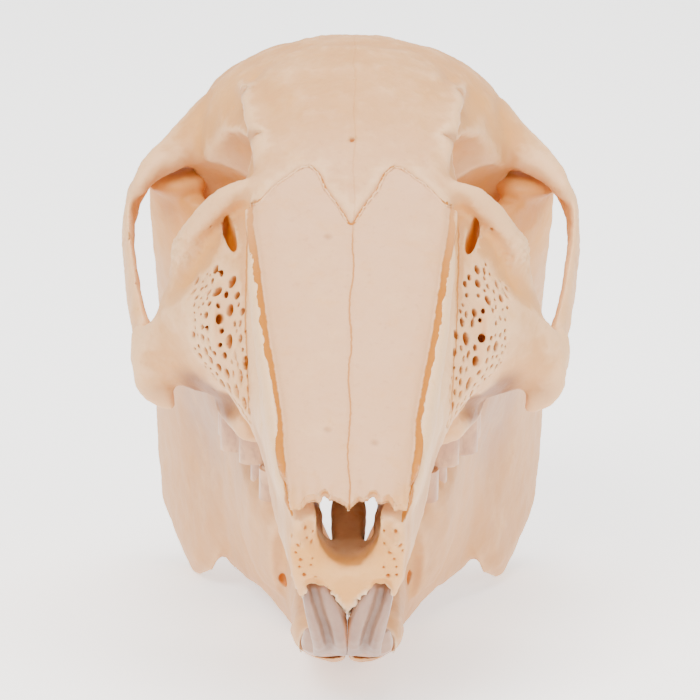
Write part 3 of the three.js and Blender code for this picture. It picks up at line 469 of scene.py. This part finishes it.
# ---------------------------------------------------------------- materials
def bone_material(look, name="bone", jaw=False):
    """Dry bone: mottled, with painted light on ridges and painted shade in ochre in hollows, and
    wandering sutures.
    """
    s = Shader(name)
    broad = s.noise(14, 3)
    patch = s.noise(4.5, 4, 0.6)
    fine = s.noise(0.7, 4, 0.65)
    grain = s.cells(0.42)
    depth = s.mark("depth")
    base, warmer = (look.jaw, look.jaw_warm) if jaw else (look.bone, look.bone_warm)
    relief_here = s.mark("relief")
    colour = s.mix(broad.ramp(0.35, 0.68), tuple(base), tuple(warmer))
    for amount, shade in (
            (s.mark("pink") * (1.05 - patch * 0.5), look.bone_pink),
            (s.mark("pale") * 0.85, look.bone_pale),
            (s.mark("grey") * 0.8, look.bone_grey),
            (patch.ramp(0.50, 0.78) * 0.3, look.bone_pale),
            # Painted shade: ochre in the hollows that the relief finds.
            (relief_here.ramp(0.02, 0.3) * 0.6, look.bone_ochre),
            # Painted light: pale on the ridges.
            ((0.0 - relief_here).ramp(0.03, 0.3) * 0.6, look.bone_pale),
            ((s.mark("ochre") * (patch * 1.1 + 0.4)).clamped(), look.bone_ochre),
            # Painted light: a pale colour inside the nose and at the sockets' rims, lifting the
            # shade there, over their own colour.
            (s.mark("warm"), look.bone_deep_painted_light),
            # Painted shade in the hollows and notches.
            (s.mark("shade") * 0.9, look.bone_painted_shade),
            (s.noise(2.2, 4, 0.7).ramp(0.52, 0.72) * 0.28, look.bone_ochre),
            (fine.ramp(0.56, 0.78) * 0.26, srgb(178, 116, 64)),
            # Inside the holes the colour turns to the pore's dark orange with depth: the holes'
            # own orange with painted shade deepening inward.
            (depth.ramp(0.08, 0.9), look.pore)):
        colour = s.mix(amount, colour, tuple(shade))
    line = s.noise(0.9, 3, 0.6)
    flake = s.noise(2.6, 3, 0.6)
    seam = 0.0
    for key, width, wander in SEAM_LINES:
        off = abs(s.mark(key) + (line - 0.5) * wander + (flake - 0.5) * width)
        seam = (1 - off.ramp(width * 0.3, width * 1.1)) * s.mark(key + "_on") + seam
    seam = seam.clamped()
    colour = s.mix(seam, colour, tuple(look.suture))
    colour = s.mix(s.mark("tooth"), colour, tuple(look.enamel_pale))
    height = fine * 0.5 + patch * 0.6 - seam * 1.2 + grain * 0.25
    return s.finish(colour, patch * 0.12 + 0.44, height, 0.45, 0.11,
                    Specular_IOR_Level=0.4, Subsurface_Weight=0.12,
                    Subsurface_Radius=(1.0, 0.5, 0.3), Subsurface_Scale=0.001)


def tooth_material(look, name="enamel", pale=False):
    """Enamel with faint upright streaks, a darker groove, a stained root and painted highlights.
    """
    s = Shader(name)
    where = s.node("Mapping", {"vector_type": "POINT"}, Vector=s.where(), Scale=(1.0, 1.0, 0.22))
    broad = s.noise(3, 3)
    streak = s.noise(0.55, 3, 0.6, at=where)
    fine = s.noise(0.35, 3)
    main, light = ((look.enamel_pale, look.bone_pale) if pale
                   else (look.enamel, look.enamel_light))
    colour = s.mix(broad.ramp(0.35, 0.7) * 0.6, tuple(main), tuple(light))
    colour = s.mix(streak.ramp(0.45, 0.75) * 0.45, colour, srgb(142, 104, 82))
    # Painted highlight where the `light` mark is set.
    colour = s.mix(s.mark("light"), colour, tuple(look.enamel_light))
    colour = s.mix(s.mark("groove") * 0.5, colour, srgb(108, 76, 58))
    colour = s.mix(s.mark("stain") * 0.8, colour, srgb(164, 102, 56))
    return s.finish(colour, 0.3, fine * 0.3 + streak, 0.25, 0.05, Specular_IOR_Level=0.5,
                    Coat_Weight=0.3, Coat_Roughness=0.2, Subsurface_Weight=0.1,
                    Subsurface_Radius=(1.0, 0.6, 0.4), Subsurface_Scale=0.001)


# ---------------------------------------------------------------- settings
def colour_of(name, description, *screen):
    """A colour setting whose default is given as a screen shows it."""
    return FloatVectorProperty(name=name, description=description, subtype="COLOR",
                               default=srgb(*screen))


class SkullLook(bpy.types.PropertyGroup):
    """Colours of bone, seams and teeth."""
    bone: colour_of("Bone", "Main colour of the bone", 210, 154, 97)
    bone_warm: colour_of("Warm bone", "Colour of the warmer patches", 202, 142, 80)
    bone_pink: colour_of("Pink bone", "Colour of the nasals and forehead", 217, 165, 121)
    # Also the painted light on ridges.
    bone_pale: colour_of("Pale bone", "Colour of ridges and raised strips", 236, 192, 144)
    # Also the painted shade in hollows.
    bone_ochre: colour_of("Ochre bone", "Colour of thin yellowed bone", 218, 152, 72)
    bone_grey: colour_of("Grey bone", "Colour of the thin plate of the jaw", 184, 142, 112)
    # Painted shade: the dark brown put where shade falls in hollows.
    bone_painted_shade: colour_of("Shaded bone", "Colour of sheltered hollows", 132, 82, 46)
    # The colour inside the nose, painted paler so that it lifts the shade that falls there; it
    # also lightens the rims of the front teeth's sockets.
    bone_deep_painted_light: colour_of("Deep bone", "Colour inside the nose", 242, 212, 176)
    jaw: colour_of("Jaw", "Main colour of the lower jaw", 210, 156, 104)
    jaw_warm: colour_of("Warm jaw", "Colour of the jaw's warmer patches", 200, 142, 84)
    suture: colour_of("Suture", "Colour of the seams between bones", 184, 110, 4)
    # Also painted shade, deepening inside the holes.
    pore: colour_of("Pore", "Colour inside small holes", 196, 112, 14)
    enamel: colour_of("Enamel", "Colour of the front teeth", 140, 105, 87)
    # Also used for the painted highlights on the front teeth.
    enamel_light: colour_of("Light enamel", "Colour of clear patches of the front teeth",
                            168, 132, 110)
    enamel_pale: colour_of("Pale enamel", "Colour of the cheek teeth", 190, 144, 112)


class SkullSizes(bpy.types.PropertyGroup):
    """Sizes of the finish and of the stage."""
    voxel: FloatProperty(name="Grain", description="Fineness of the bone surface",
                         subtype="DISTANCE", default=0.0003, min=0.0002, max=0.001)
    floor: FloatProperty(name="Floor", description="Half width of the floor",
                         subtype="DISTANCE", default=2.0, min=0.3)
    lens: FloatProperty(name="Lens", description="Focal length of the camera, in millimetres",
                        default=287.5, min=20)
    elevation: FloatProperty(name="Camera height",
                             description="Angle of the camera above the floor",
                             subtype="ANGLE", default=math.radians(12))
    roll: FloatProperty(name="Camera roll",
                        description="Turn of the camera about its own line of sight",
                        subtype="ANGLE", default=math.radians(0.55))


# ---------------------------------------------------------------- pieces
def seam_distances(p):
    """Signed distances to the sutures beside the nasals, and to the strip's outer edge."""
    flat = p[:, :2]
    left = flat[:, 0] > 0
    side = np.where(left, line_distance(flat, NASAL_SIDE["left"]),
                    -line_distance(flat, NASAL_SIDE["right"]))
    strip = np.where(left, line_distance(flat, STRIP_SIDE["left"]),
                     -line_distance(flat, STRIP_SIDE["right"]))
    return side, strip


def seams(obj, p, naso, beside, strip):
    """Marks the sutures of the roof: the way to each in millimetres, and where it runs.

    `naso` leads to the joint with the forehead, `beside` to those beside the nasals.
    """
    top = soft_step(p[:, 2], 17.5, 19.5)
    wide = abs(p[:, 0])
    marked(obj, "seam_back", naso)
    marked(obj, "seam_back_on", top * soft_step(p[:, 1], 28.0, 29.0)
           * (1 - soft_step(p[:, 1], 39, 40)) * (1 - soft_step(wide, 9.3, 9.7)))
    marked(obj, "seam_side", beside)
    marked(obj, "seam_side_on", top * (1 - soft_step(p[:, 1], 34.6, 36.2))
           * (1 - 0.35 * soft_step(p[:, 1], 24, 34)) * soft_step(wide, 3.0, 4.0))
    # The thin lines: along the middle, and the outer edge of the strip beside the nasals.
    mid = p[:, 0] - 0.1 * np.sin(p[:, 1] * 0.8) - 0.2 * soft_step(p[:, 1], 20, 29)
    marked(obj, "seam_thin", np.where(wide < 4, mid, strip))
    back = np.where(wide < 4, 0.8 - 0.6 * soft_step(p[:, 1], 28.6, 31),
                    0.8 - 0.8 * soft_step(p[:, 1], 34.5, 36))
    marked(obj, "seam_thin_on", top * back * (1 - soft_step(p[:, 1], 60, 66)))


def waves(p, size, fine):
    """Gentle unevenness of a grown surface, about -1 to 1."""
    return np.array([noise.noise(Vector(v) * size) + 0.5 * noise.noise(Vector(v) * fine)
                     for v in p])


def pore_cutter(surface):
    """The openings of the lattice and of the face, as one closed body that is cut away."""
    rng = np.random.default_rng(7)
    shape = bmesh.new()

    def pore(centre, size, turn):
        """An egg-shaped opening, added to the body that is being made."""
        where = (Matrix.Translation(centre) @ turn.to_matrix().to_4x4()
                 @ Matrix.Diagonal((*[v * MM for v in size], 1)))
        bmesh.ops.create_icosphere(shape, subdivisions=2, radius=1.0, matrix=where)

    def on_surface(x, y, z):
        """The nearest point of the bone and its outward direction, or None twice."""
        return surface.find_nearest(place(x, y, z), REACH * MM)[:2]

    # The lattice: upright openings of mixed size, spaced over the snout's side before the eye.
    for side in (-1, 1):
        kept = []
        for _ in range(LATTICE_TRIES):
            z = rng.uniform(LATTICE_LOW, LATTICE_TOP)
            inner = 8.5 + (z - 18) * 0.12
            outer = 10.7 + 3.3 * soft_step(z, 17.0, 21.5) - 0.8 * soft_step(z, 25.5, 28.5)
            x = rng.uniform(inner, outer)
            at, out = on_surface(side * x, 33.5 - 10 * (13.4 - x) / 5.4 - (28 - z) * 0.15, z)
            if at is None:
                continue
            q = level(np.array([at]))[0]
            if not (inner < abs(q[0]) < outer + 0.2 and q[1] < LATTICE_BACK
                    and LATTICE_LOW - 0.2 < q[2] < LATTICE_TOP):
                continue
            middle = 1 - abs((abs(q[0]) - inner) / (outer - inner) - 0.38) / 0.62
            size = (0.2 + 0.36 * rng.random() ** 1.4) * (0.7 + 0.5 * max(middle, 0))
            if any(math.hypot(q[0] - k[0], (q[1] - k[1]) * 0.9, (q[2] - k[2]) * 0.72)
                   < size + k[3] + STRUT for k in kept):
                continue
            kept.append((*q, size))
            turn = out.to_track_quat("X", "Z").to_euler()
            turn.rotate_axis("X", rng.normal(0, 0.25))
            tall = size * (1.05 + 0.35 * rng.random())
            pore(at, (1.3 + size * 1.5, size * 0.9, tall), turn)
        (x, y, z), half = SLOT
        pore(place(side * x, y, z), half, Euler((0.35, 0, side * -0.25)))
        for (x, y, z), half in NOTCHES:
            pore(place(side * x, y, z), half, Euler((TILT, 0, 0)))
    made = object_of("pores", shape)
    applied(made, "REMESH", mode="VOXEL", voxel_size=GRAIN["pores"])
    # The pits beside the nose opening stand apart, so they are added as they are.
    shape = bmesh.new()
    shape.from_mesh(made.data)
    pits = list(PITS)
    for _ in range(60):
        x = rng.choice((-1, 1)) * rng.uniform(3.0, 4.7)
        z, r = rng.uniform(14.8, 21.0), rng.uniform(0.1, 0.19)
        if len(pits) < PIT_COUNT and all(
                math.hypot(x - k[0], z - k[2]) > PIT_SPACING for k in pits):
            pits.append((x, 1.6, z, r))
    for x, y, z, r in pits:
        at, out = on_surface(x, y, z)
        if at is not None:
            pore(at, (r * 2.2, r, r * 1.3), out.to_track_quat("X", "Z").to_euler())
    shape.to_mesh(made.data)
    shape.free()
    return made


def sculpted(obj, to_nasals):
    """Moves the cranium's points: seams, strips, hollows, socket rims, knobs and fine waves."""
    points, n = points_of(obj), normals_of(obj)
    p = level(points)
    side, strip = seam_distances(p)
    top = soft_step(p[:, 2], 18.0, 20.0)
    forward = 1 - soft_step(p[:, 1], 34.5, 36.5)
    beside = soft_step(side, -0.6, 0.0)
    raised = np.clip(levelled(n)[:, 2] * 1.6 - 0.3, 0, 1)
    push = -bell(to_nasals, 0.34) * top * 0.16 * beside * forward * raised
    # The strip beside the nasals stands up, and a furrow parts it from the snout's side.
    between = soft_step(side, 0.2, 0.7) * (1 - soft_step(strip, -0.4, 0.2))
    push += 0.2 * between * top * forward
    push += -0.22 * bell(strip, 0.3) * top * forward * soft_step(abs(p[:, 0]), 6, 7)
    # The suture along the middle of the roof.
    push += -0.07 * bell(p[:, 0], 0.22) * top * (1 - soft_step(p[:, 1], 60, 66))
    sunk = np.array(place(*HOLLOW_SHIFT) - place(0, 0, 0)) * spots(p, [CHEEK_HOLLOW])[:, None]
    # The rim of the front teeth's sockets is ragged.
    rim = np.nonzero(near(p, (0, 4, 11.5), 9.0) > 0)[0]
    socket = np.full(len(p), FAR_OFF)
    socket[rim] = away_from(points[rim], UPPER_INCISORS)
    push += 0.42 * (1 - soft_step(socket, 0.4, 1.3)) * np.array(
        [noise.noise(Vector(v) * 1.9) for v in p]) * (socket < 2)
    push += spots(p, SWELLINGS, (-1, 1))
    rough = np.array([noise.noise(Vector(v) * 4.0) for v in p])
    knob = np.maximum(*[spots(p, [(1.0, KNOB, 3.4)], (s,)) for s in BOTH])
    push += 0.11 * waves(p, 0.55, 1.5) + rough * (0.035 + 0.34 * knob)
    moved(obj, points + n * (push * MM)[:, None] + sunk)


def bone_marks(obj, **marks):
    """Sets the marks that a bone's material reads; those that aren't given are zero."""
    zero = np.zeros(len(obj.data.vertices))
    marked(obj, "relief", relief(obj))
    for name in MARKS:
        marked(obj, name, marks.get(name, zero))


def pared(obj, context):
    """Pares the nasals' front from below to a thin ragged lip, and lets out their hidden walls."""
    tree = BVHTree.FromObject(obj, context.evaluated_depsgraph_get())
    down = (place(0, 0, 0) - place(0, 0, 1)).normalized()
    p, n = level(points_of(obj)), levelled(normals_of(obj))
    x, y = abs(p[:, 0]), p[:, 1].copy()
    roof = p[:, 2].copy()
    walls = ((abs(n[:, 0]) > 0.45) | (n[:, 1] > 0.45)) & (y > 3)
    for i in np.nonzero((y < 10) | walls)[0]:
        dx, dy = (-0.35 * n[i, 0], -0.35 * n[i, 1]) if walls[i] else (0, 0.35)
        hit = tree.ray_cast(place(p[i, 0] + dx, p[i, 1] + dy, 60), down)[0]
        if hit is not None:
            roof[i] = max(level(np.array([hit]))[0, 2], p[i, 2])
    # Below their edge the walls reach out under the next bone, so that no light falls through.
    flange = 0.45 * soft_step(roof - p[:, 2], 0.2, 0.45) * walls * soft_step(y, 3.0, 5.0)
    flange = flange * soft_step(np.maximum(x - 3.5, y - 26), 0.0, 0.8)
    p[:, :2] += n[:, :2] * flange[:, None]
    kept = 0.34 + 0.66 * soft_step(p[:, 1], 1.5, 9.5)
    lift = (roof - p[:, 2]) * (1 - kept)
    front = 1 - soft_step(p[:, 1], 0.5, 4.0)
    rag = np.array([noise.noise(Vector((across * 1.9, 0, 4)))
                    + 0.6 * noise.noise(Vector((across * 4.6, 3, 0))) for across in p[:, 0]])
    p[:, 2] += lift
    p[:, 1] += 0.28 * front * rag
    moved(obj, placed(p))


class SKULL_OT_cranium(bpy.types.Operator):
    """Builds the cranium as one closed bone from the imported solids"""
    bl_idname = "skull.cranium"
    bl_label = "Cranium"

    def execute(self, context):
        scene = context.scene
        grow = GROWTH["cranium"]
        skull = object_of("cranium", bone_copy(CRANIAL, grow))
        applied(skull, "REMESH", mode="VOXEL", voxel_size=scene.skull_sizes.voxel)
        p = level(points_of(skull))
        # The nose opening, the front teeth's sockets, the brow and the cheek teeth stay keen.
        keen = np.maximum.reduce([
            soft_step(-p[:, 1], -6, -2) * 0.9,
            near(p, (0, 12, 13), 11) * 0.9,
            *[near(p, (s * 11.5, 36, 30), 5) * 0.7 for s in BOTH],
            soft_step(-p[:, 2], -13, -11) * soft_step(-p[:, 1], -47, -45) * 0.9,
        ])
        group(skull, "soft", 1 - keen)
        applied(skull, "SMOOTH", factor=0.6, iterations=3)
        applied(skull, "SMOOTH", factor=0.6, iterations=26, vertex_group="soft")
        pushed(skull, -0.9 * grow)
        sculpted(skull, joint(points_of(skull), NASALS))
        smooth = BVHTree.FromObject(skull, context.evaluated_depsgraph_get())
        carved(skull, pore_cutter(smooth))
        count = len(skull.data.polygons)
        if count > CRANIUM_FACES:
            applied(skull, "DECIMATE", ratio=CRANIUM_FACES / count)
        points = points_of(skull)
        p = level(points)
        x, y, z = abs(p[:, 0]), p[:, 1], p[:, 2]
        depth = np.array([smooth.find_nearest(Vector(v))[3] for v in points]) / MM
        notch = spots(p, [(1.0, centre, 3.0) for centre, _ in NOTCHES])
        inside = (soft_step(-x, -6.5, -4.0) * soft_step(-z, -23.5, -21.5)
                  * soft_step(-y, -30, -26) * soft_step(y, 3.2, 6.0) * soft_step(z, 12.5, 14.0))
        socket = away_from(points, UPPER_INCISORS)
        side, strip = seam_distances(p)
        strips = (soft_step(side, 0.1, 0.6) * (1 - soft_step(strip, -0.5, 0.3))
                  * soft_step(z, 18, 20) * (1 - soft_step(y, 34, 37)))
        bone_marks(
            skull,
            # Painted shade deepening inside the holes, over their own orange.
            depth=depth * (1 - soft_step(notch, 0.02, 0.2)),
            # Painted light inside the nose and on the rims of the front teeth's sockets.
            warm=np.clip(0.8 * inside + 0.8 * (1 - soft_step(socket, 0.35, 0.8))
                         + 0.9 * near(p, (0, 3.2, 9.4), 2.6), 0, 1),
            pink=(0.6 * soft_step(z, 22, 29) * (1 - soft_step(x, 8, 11))
                  * (1 - soft_step(y, 36, 46))),
            # Partly painted light: the spot on the rear wall of the eye's socket.
            pale=np.clip(strips * 0.8 + spots(p, PALE_SPOTS), 0, 1),
            # Painted shade under the cheek arch and in the brow's notches.
            shade=np.clip(spots(p, PAINTED_SHADE_SPOTS), 0, 1),
            ochre=np.clip(spots(p, OCHRE_SPOTS)
                          + spots(p, ARCH_OCHRE) * soft_step(y, 38, 40), 0, 1),
            tooth=(soft_step(-z, -11.6, -10.9) * soft_step(y, 30.5, 31.2)
                   * (1 - soft_step(y, 45.2, 46.2))))
        away = joint(points, NASALS)
        outer = side > -0.4
        seams(skull, p, np.where(outer, FAR_OFF, away), np.where(outer, away, FAR_OFF), strip)
        ready(skull, bone_material(scene.skull_look), "bone", *CRANIAL)
        return {"FINISHED"}


class SKULL_OT_nasals(bpy.types.Operator):
    """Builds the two nasal bones, with their thin broken edge over the nose opening"""
    bl_idname = "skull.nasals"
    bl_label = "Nasal bones"

    def execute(self, context):
        nasals = object_of("nasals", bone_copy(NASALS, GROWTH["nasals"]))
        applied(nasals, "REMESH", mode="VOXEL", voxel_size=GRAIN["nasals"])
        group(nasals, "soft", soft_step(level(points_of(nasals))[:, 1], 1.5, 5.0))
        applied(nasals, "SMOOTH", factor=0.5, iterations=2)
        applied(nasals, "SMOOTH", factor=0.6, iterations=16, vertex_group="soft")
        # Growth stays only at the sides and the back, where it closes the seams.
        n = levelled(normals_of(nasals))
        inward = np.clip(np.maximum(abs(n[:, 2]) * 1.2, -n[:, 1] * 1.4), 0, 1)
        pushed(nasals, -0.33 * inward)
        pared(nasals, context)
        points = points_of(nasals)
        p = level(points)
        raised = np.clip(levelled(normals_of(nasals))[:, 2] * 2, 0, 1)
        push = raised * (0.06 + 0.05 * waves(p, 0.5, 1.4)
                         - 0.2 * bell(joint(points, SIDE_BONES), 0.3) - 0.1 * bell(p[:, 0], 0.16))
        for dent in NASAL_DENTS:
            push -= 0.12 * near(p, dent, 0.5)
        pushed(nasals, push)
        applied(nasals, "TRIANGULATE")
        points = points_of(nasals)
        p = level(points)
        under = soft_step(-levelled(normals_of(nasals))[:, 2], 0.0, 0.4)
        bone_marks(
            nasals,
            pink=np.ones(len(p)),
            ochre=np.clip(spots(p, LIP_OCHRE) + 0.7 * under, 0, 1),
            # Painted shade in the dents.
            shade=sum(0.4 * near(p, dent, 0.6) for dent in NASAL_DENTS))
        seams(nasals, p, joint(points, FRONTALS, 0.08), joint(points, SIDE_BONES, 0.1),
              np.full(len(p), FAR_OFF))
        ready(nasals, bone_material(context.scene.skull_look, "nasal_bone"), "bone", *NASALS)
        return {"FINISHED"}


class SKULL_OT_jaw(bpy.types.Operator):
    """Builds the two halves of the lower jaw"""
    bl_idname = "skull.jaw"
    bl_label = "Lower jaw"

    def execute(self, context):
        material = bone_material(context.scene.skull_look, "jaw_bone", jaw=True)
        grow = GROWTH["jaw"]
        for side, s in zip(SIDES, BOTH):
            jaw = object_of(f"jaw_{side}", bone_copy([f"mandible_{side}"], grow))
            applied(jaw, "REMESH", mode="VOXEL", voxel_size=GRAIN["jaw"])
            applied(jaw, "SMOOTH", factor=0.6, iterations=16)
            pushed(jaw, -0.8 * grow)
            # The joint's head reaches up to its socket in the cranium.
            p = level(points_of(jaw))
            high = soft_step(p[:, 2], 8.0, 17.0) * soft_step(p[:, 1], 46, 52)
            p[:, 2] += 2.0 * high
            p[:, 0] -= s * 1.5 * high * soft_step(-abs(p[:, 0]), -18.8, -15.4)
            moved(jaw, placed(p))
            push = 0.09 * np.array([noise.noise(Vector(v) * 0.6) + 0.4 * noise.noise(Vector(v) * 2)
                                    for v in p])
            push += spots(p, JAW_HOLLOW, (s,))
            # What lies on the floor stays flat.
            push *= soft_step(points_of(jaw)[:, 2] / MM, 0.3, 2.0)
            pushed(jaw, push)
            smooth = BVHTree.FromObject(jaw, context.evaluated_depsgraph_get())
            at = smooth.find_nearest(place(*FORAMINA[side]))[0]
            where = Matrix.Translation(at) @ Matrix.Diagonal((0.0006, 0.0007, 0.0007, 1))
            shape = bmesh.new()
            bmesh.ops.create_icosphere(shape, subdivisions=3, radius=1.0, matrix=where)
            carved(jaw, object_of("canal", shape))
            points = points_of(jaw)
            p = level(points)
            y, z = p[:, 1], p[:, 2]
            depth = np.array([smooth.find_nearest(Vector(v))[3] for v in points]) / MM
            socket = away_from(points, [f"lower_incisor_{side}"])
            bone_marks(
                jaw,
                # Painted shade deepening inside the canal's opening, over its own orange.
                depth=depth * 3.0,
                # Painted light on the rim of the front tooth's socket.
                warm=0.7 * (1 - soft_step(socket, 0.35, 0.85)) * soft_step(z, 0.5, 2.0),
                grey=np.clip(spots(p, JAW_GREY, (s,)), 0, 1),
                ochre=np.clip(0.9 * soft_step(z, 12, 18) * soft_step(y, 46, 50)
                              + spots(p, JAW_OCHRE, (s,)), 0, 1),
                # Painted shade on the jaw's outer side.
                shade=spots(p, JAW_PAINTED_SHADE, (s,)),
                tooth=(soft_step(z, 5.1, 5.7) * soft_step(y, 29.5, 30.4)
                       * (1 - soft_step(y, 43.8, 44.6))))
            for key, _, _ in SEAM_LINES:
                marked(jaw, key, np.full(len(p), FAR_OFF))
                marked(jaw, key + "_on", np.zeros(len(p)))
            ready(jaw, material, "bone", f"mandible_{side}")
        return {"FINISHED"}


class SKULL_OT_incisors(bpy.types.Operator):
    """Builds the grooved front teeth"""
    bl_idname = "skull.incisors"
    bl_label = "Incisors"

    def execute(self, context):
        material = tooth_material(context.scene.skull_look)
        grow = GROWTH["incisors"]
        order = sorted(INCISOR_LINE)
        heights, middles = [v[0] for v in order], [v[1] for v in order]
        for row in ("upper", "lower"):
            for side in SIDES:
                node = f"{row}_incisor_{side}"
                tooth = object_of(f"front_tooth_{row}_{side}", bone_copy([node], grow))
                applied(tooth, "REMESH", mode="VOXEL", voxel_size=GRAIN["incisors"])
                applied(tooth, "SMOOTH", factor=0.6, iterations=9)
                pushed(tooth, -0.03)
                # The two teeth of a pair meet in the middle.
                p = level(points_of(tooth))
                wide = abs(p[:, 0])
                gap = 0.27 * soft_step(-wide, -1.7, -0.35)
                p[:, 0] = np.sign(p[:, 0]) * np.maximum(wide - gap, 0.012)
                moved(tooth, placed(p))
                x, z = abs(p[:, 0]), p[:, 2]
                facing = np.clip(-levelled(normals_of(tooth))[:, 1] * 2.0, 0, 1)
                if row == "upper":
                    across = x - np.interp(z, heights, middles)
                    furrow = (bell(across - np.interp(z, [5.5, 14.0], [-0.1, 0.3]), 0.42)
                              * facing * soft_step(z, 4.6, 7.0))
                    bulge = bell(across - 1.0, 0.6) + bell(across + 0.9, 0.6)
                    pushed(tooth, 0.1 * bulge * facing - 0.4 * furrow)
                    # Darker along the middle, where the two teeth meet, from just above the tips
                    # up to the root.
                    inner = 0.9 * (1 - soft_step(x, 0.12, 0.5)) * soft_step(z, 5.2, 8.0)
                    gum = np.maximum(soft_step(z, 12.2, 13.8), inner)
                    # Painted highlight on the raised bulges that face forward.
                    light = 0.15 * bulge * facing
                else:
                    furrow = np.zeros(len(p))
                    # The lower teeth are lighter on their outer sides: partly the enamel's own
                    # colour and partly painted highlight.
                    gum, light = 1 - soft_step(z, 1.6, 2.9), soft_step(x, 2.0, 3.2)
                for key, values in (("stain", gum), ("groove", furrow), ("light", light)):
                    marked(tooth, key, np.clip(values, 0, 1))
                ready(tooth, material, "tooth", node)
        return {"FINISHED"}


class SKULL_OT_cheek_teeth(bpy.types.Operator):
    """Builds the rows of folded cheek teeth over the plain ones of the solids"""
    bl_idname = "skull.cheek_teeth"
    bl_label = "Cheek teeth"

    def execute(self, context):
        material = tooth_material(context.scene.skull_look, "cheek_enamel", pale=True)
        for row, teeth, floor in (("upper", UPPER_TEETH, -0.3), ("lower", LOWER_TEETH, -0.2)):
            gum, bite = TOOTH_ENDS[row]
            for side, s in zip(SIDES, BOTH):
                shape = bmesh.new()
                for x, y, wide, long in teeth:
                    ring = bmesh.ops.create_circle(shape, cap_ends=True, segments=40,
                                                   radius=1.0)["verts"]
                    for vert in ring:
                        a = math.atan2(vert.co.y, vert.co.x)
                        # Two plates joined by a waist, with a fold from each side.
                        fold = 0.20 * math.exp(-(math.sin(a) / 0.22) ** 2)
                        cx = math.copysign(abs(math.cos(a)) ** 0.6, math.cos(a)) * (1 - fold)
                        cy = math.copysign(abs(math.sin(a)) ** 0.75, math.sin(a))
                        vert.co = Vector((s * (x + cx * (wide + 0.1)), y + cy * (long + 0.06),
                                          gum))
                    face = ring[0].link_faces[0]
                    low = bmesh.ops.extrude_face_region(shape, geom=[face])["geom"]
                    for vert in low:
                        if isinstance(vert, bmesh.types.BMVert):
                            vert.co.z = bite
                    # An enamel rim stands round the worn surface.
                    cap = [f for f in low if isinstance(f, bmesh.types.BMFace)]
                    bmesh.ops.inset_region(shape, faces=cap, thickness=0.22, depth=0)
                    bmesh.ops.inset_region(shape, faces=cap, thickness=0.12, depth=floor)
                for vert in shape.verts:
                    vert.co = place(*vert.co)
                bmesh.ops.recalc_face_normals(shape, faces=shape.faces)
                tooth = object_of(f"cheek_teeth_{row}_{side}", shape)
                applied(tooth, "BEVEL", width=0.00006, segments=2, limit_method="ANGLE",
                        angle_limit=math.radians(50))
                applied(tooth, "TRIANGULATE")
                p = level(points_of(tooth))
                away = abs(p[:, 2] - bite)
                marked(tooth, "stain", 0.5 * soft_step(away, 1.6, 3.0)
                       + 0.4 * soft_step(-away, -0.1, 0.3))
                for key in ("groove", "light"):
                    marked(tooth, key, np.zeros(len(p)))
                ready(tooth, material, "tooth")
        return {"FINISHED"}


class SKULL_OT_stage(bpy.types.Operator):
    """Adds the floor, the lights and the camera"""
    bl_idname = "skull.stage"
    bl_label = "Stage"

    def execute(self, context):
        scene = context.scene
        sizes = scene.skull_sizes
        shape = bmesh.new()
        bmesh.ops.create_grid(shape, x_segments=1, y_segments=1, size=sizes.floor)
        floor = object_of("floor", shape)
        s = Shader("floor_paint")
        s.finish(srgb(250, 250, 249), 0.9, Emission_Color=(1, 1, 1, 1),
                 Emission_Strength=FLOOR_GLOW)
        floor.data.materials.append(s.material)
        world = bpy.data.worlds.new("studio")
        world.use_nodes = True
        back = world.node_tree.nodes["Background"]
        back.inputs[0].default_value = (*srgb(250, 250, 252), 1)
        back.inputs[1].default_value = WORLD_LIGHT
        scene.world = world
        for name, (at, size, power) in LAMPS.items():
            data = bpy.data.lights.new(name, "AREA")
            data.size, data.energy = size, power
            data.color = (1.0, 0.97, 0.93)
            lamp = bpy.data.objects.new(name, data)
            lamp.location = at
            lamp.rotation_euler = (LAMP_AIM - Vector(at)).to_track_quat("-Z", "Y").to_euler()
            scene.collection.objects.link(lamp)
        away = Vector((0, -math.cos(sizes.elevation), math.sin(sizes.elevation)))
        away *= VIEW_DISTANCE
        data = bpy.data.cameras.new("camera")
        data.sensor_width = data.sensor_height = 36
        data.sensor_fit = "HORIZONTAL"
        data.lens = sizes.lens
        data.clip_start, data.clip_end = 0.01, 20
        camera = bpy.data.objects.new("camera", data)
        camera.location = place(*VIEW_CENTRE) + away
        facing = (-away).to_track_quat("-Z", "Y").to_matrix()
        camera.rotation_euler = (facing @ Matrix.Rotation(sizes.roll, 3, "Z")).to_euler()
        scene.collection.objects.link(camera)
        scene.camera = camera
        return {"FINISHED"}


class SKULL_PT_panel(bpy.types.Panel):
    """Lists the skull's pieces and settings"""
    bl_label = "Rabbit Skull"
    bl_idname = "SKULL_PT_panel"
    bl_space_type = "VIEW_3D"
    bl_region_type = "UI"
    bl_category = "Skull"

    def draw(self, context):
        for operator in OPERATORS:
            self.layout.operator(operator.bl_idname)
        for settings in (context.scene.skull_look, context.scene.skull_sizes):
            for key in settings.__annotations__:
                self.layout.prop(settings, key)


OPERATORS = (SKULL_OT_cranium, SKULL_OT_nasals, SKULL_OT_jaw, SKULL_OT_incisors,
             SKULL_OT_cheek_teeth, SKULL_OT_stage)
CLASSES = (SkullLook, SkullSizes, *OPERATORS, SKULL_PT_panel)


def register():
    for cls in CLASSES:
        bpy.utils.register_class(cls)
    bpy.types.Scene.skull_look = PointerProperty(type=SkullLook)
    bpy.types.Scene.skull_sizes = PointerProperty(type=SkullSizes)


def unregister():
    del bpy.types.Scene.skull_look
    del bpy.types.Scene.skull_sizes
    for cls in reversed(CLASSES):
        bpy.utils.unregister_class(cls)


def main():
    register()
    for operator in (bpy.ops.skull.cranium, bpy.ops.skull.nasals, bpy.ops.skull.jaw,
                     bpy.ops.skull.incisors, bpy.ops.skull.cheek_teeth, bpy.ops.skull.stage):
        operator()
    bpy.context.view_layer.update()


if __name__ == "__main__":
    main()
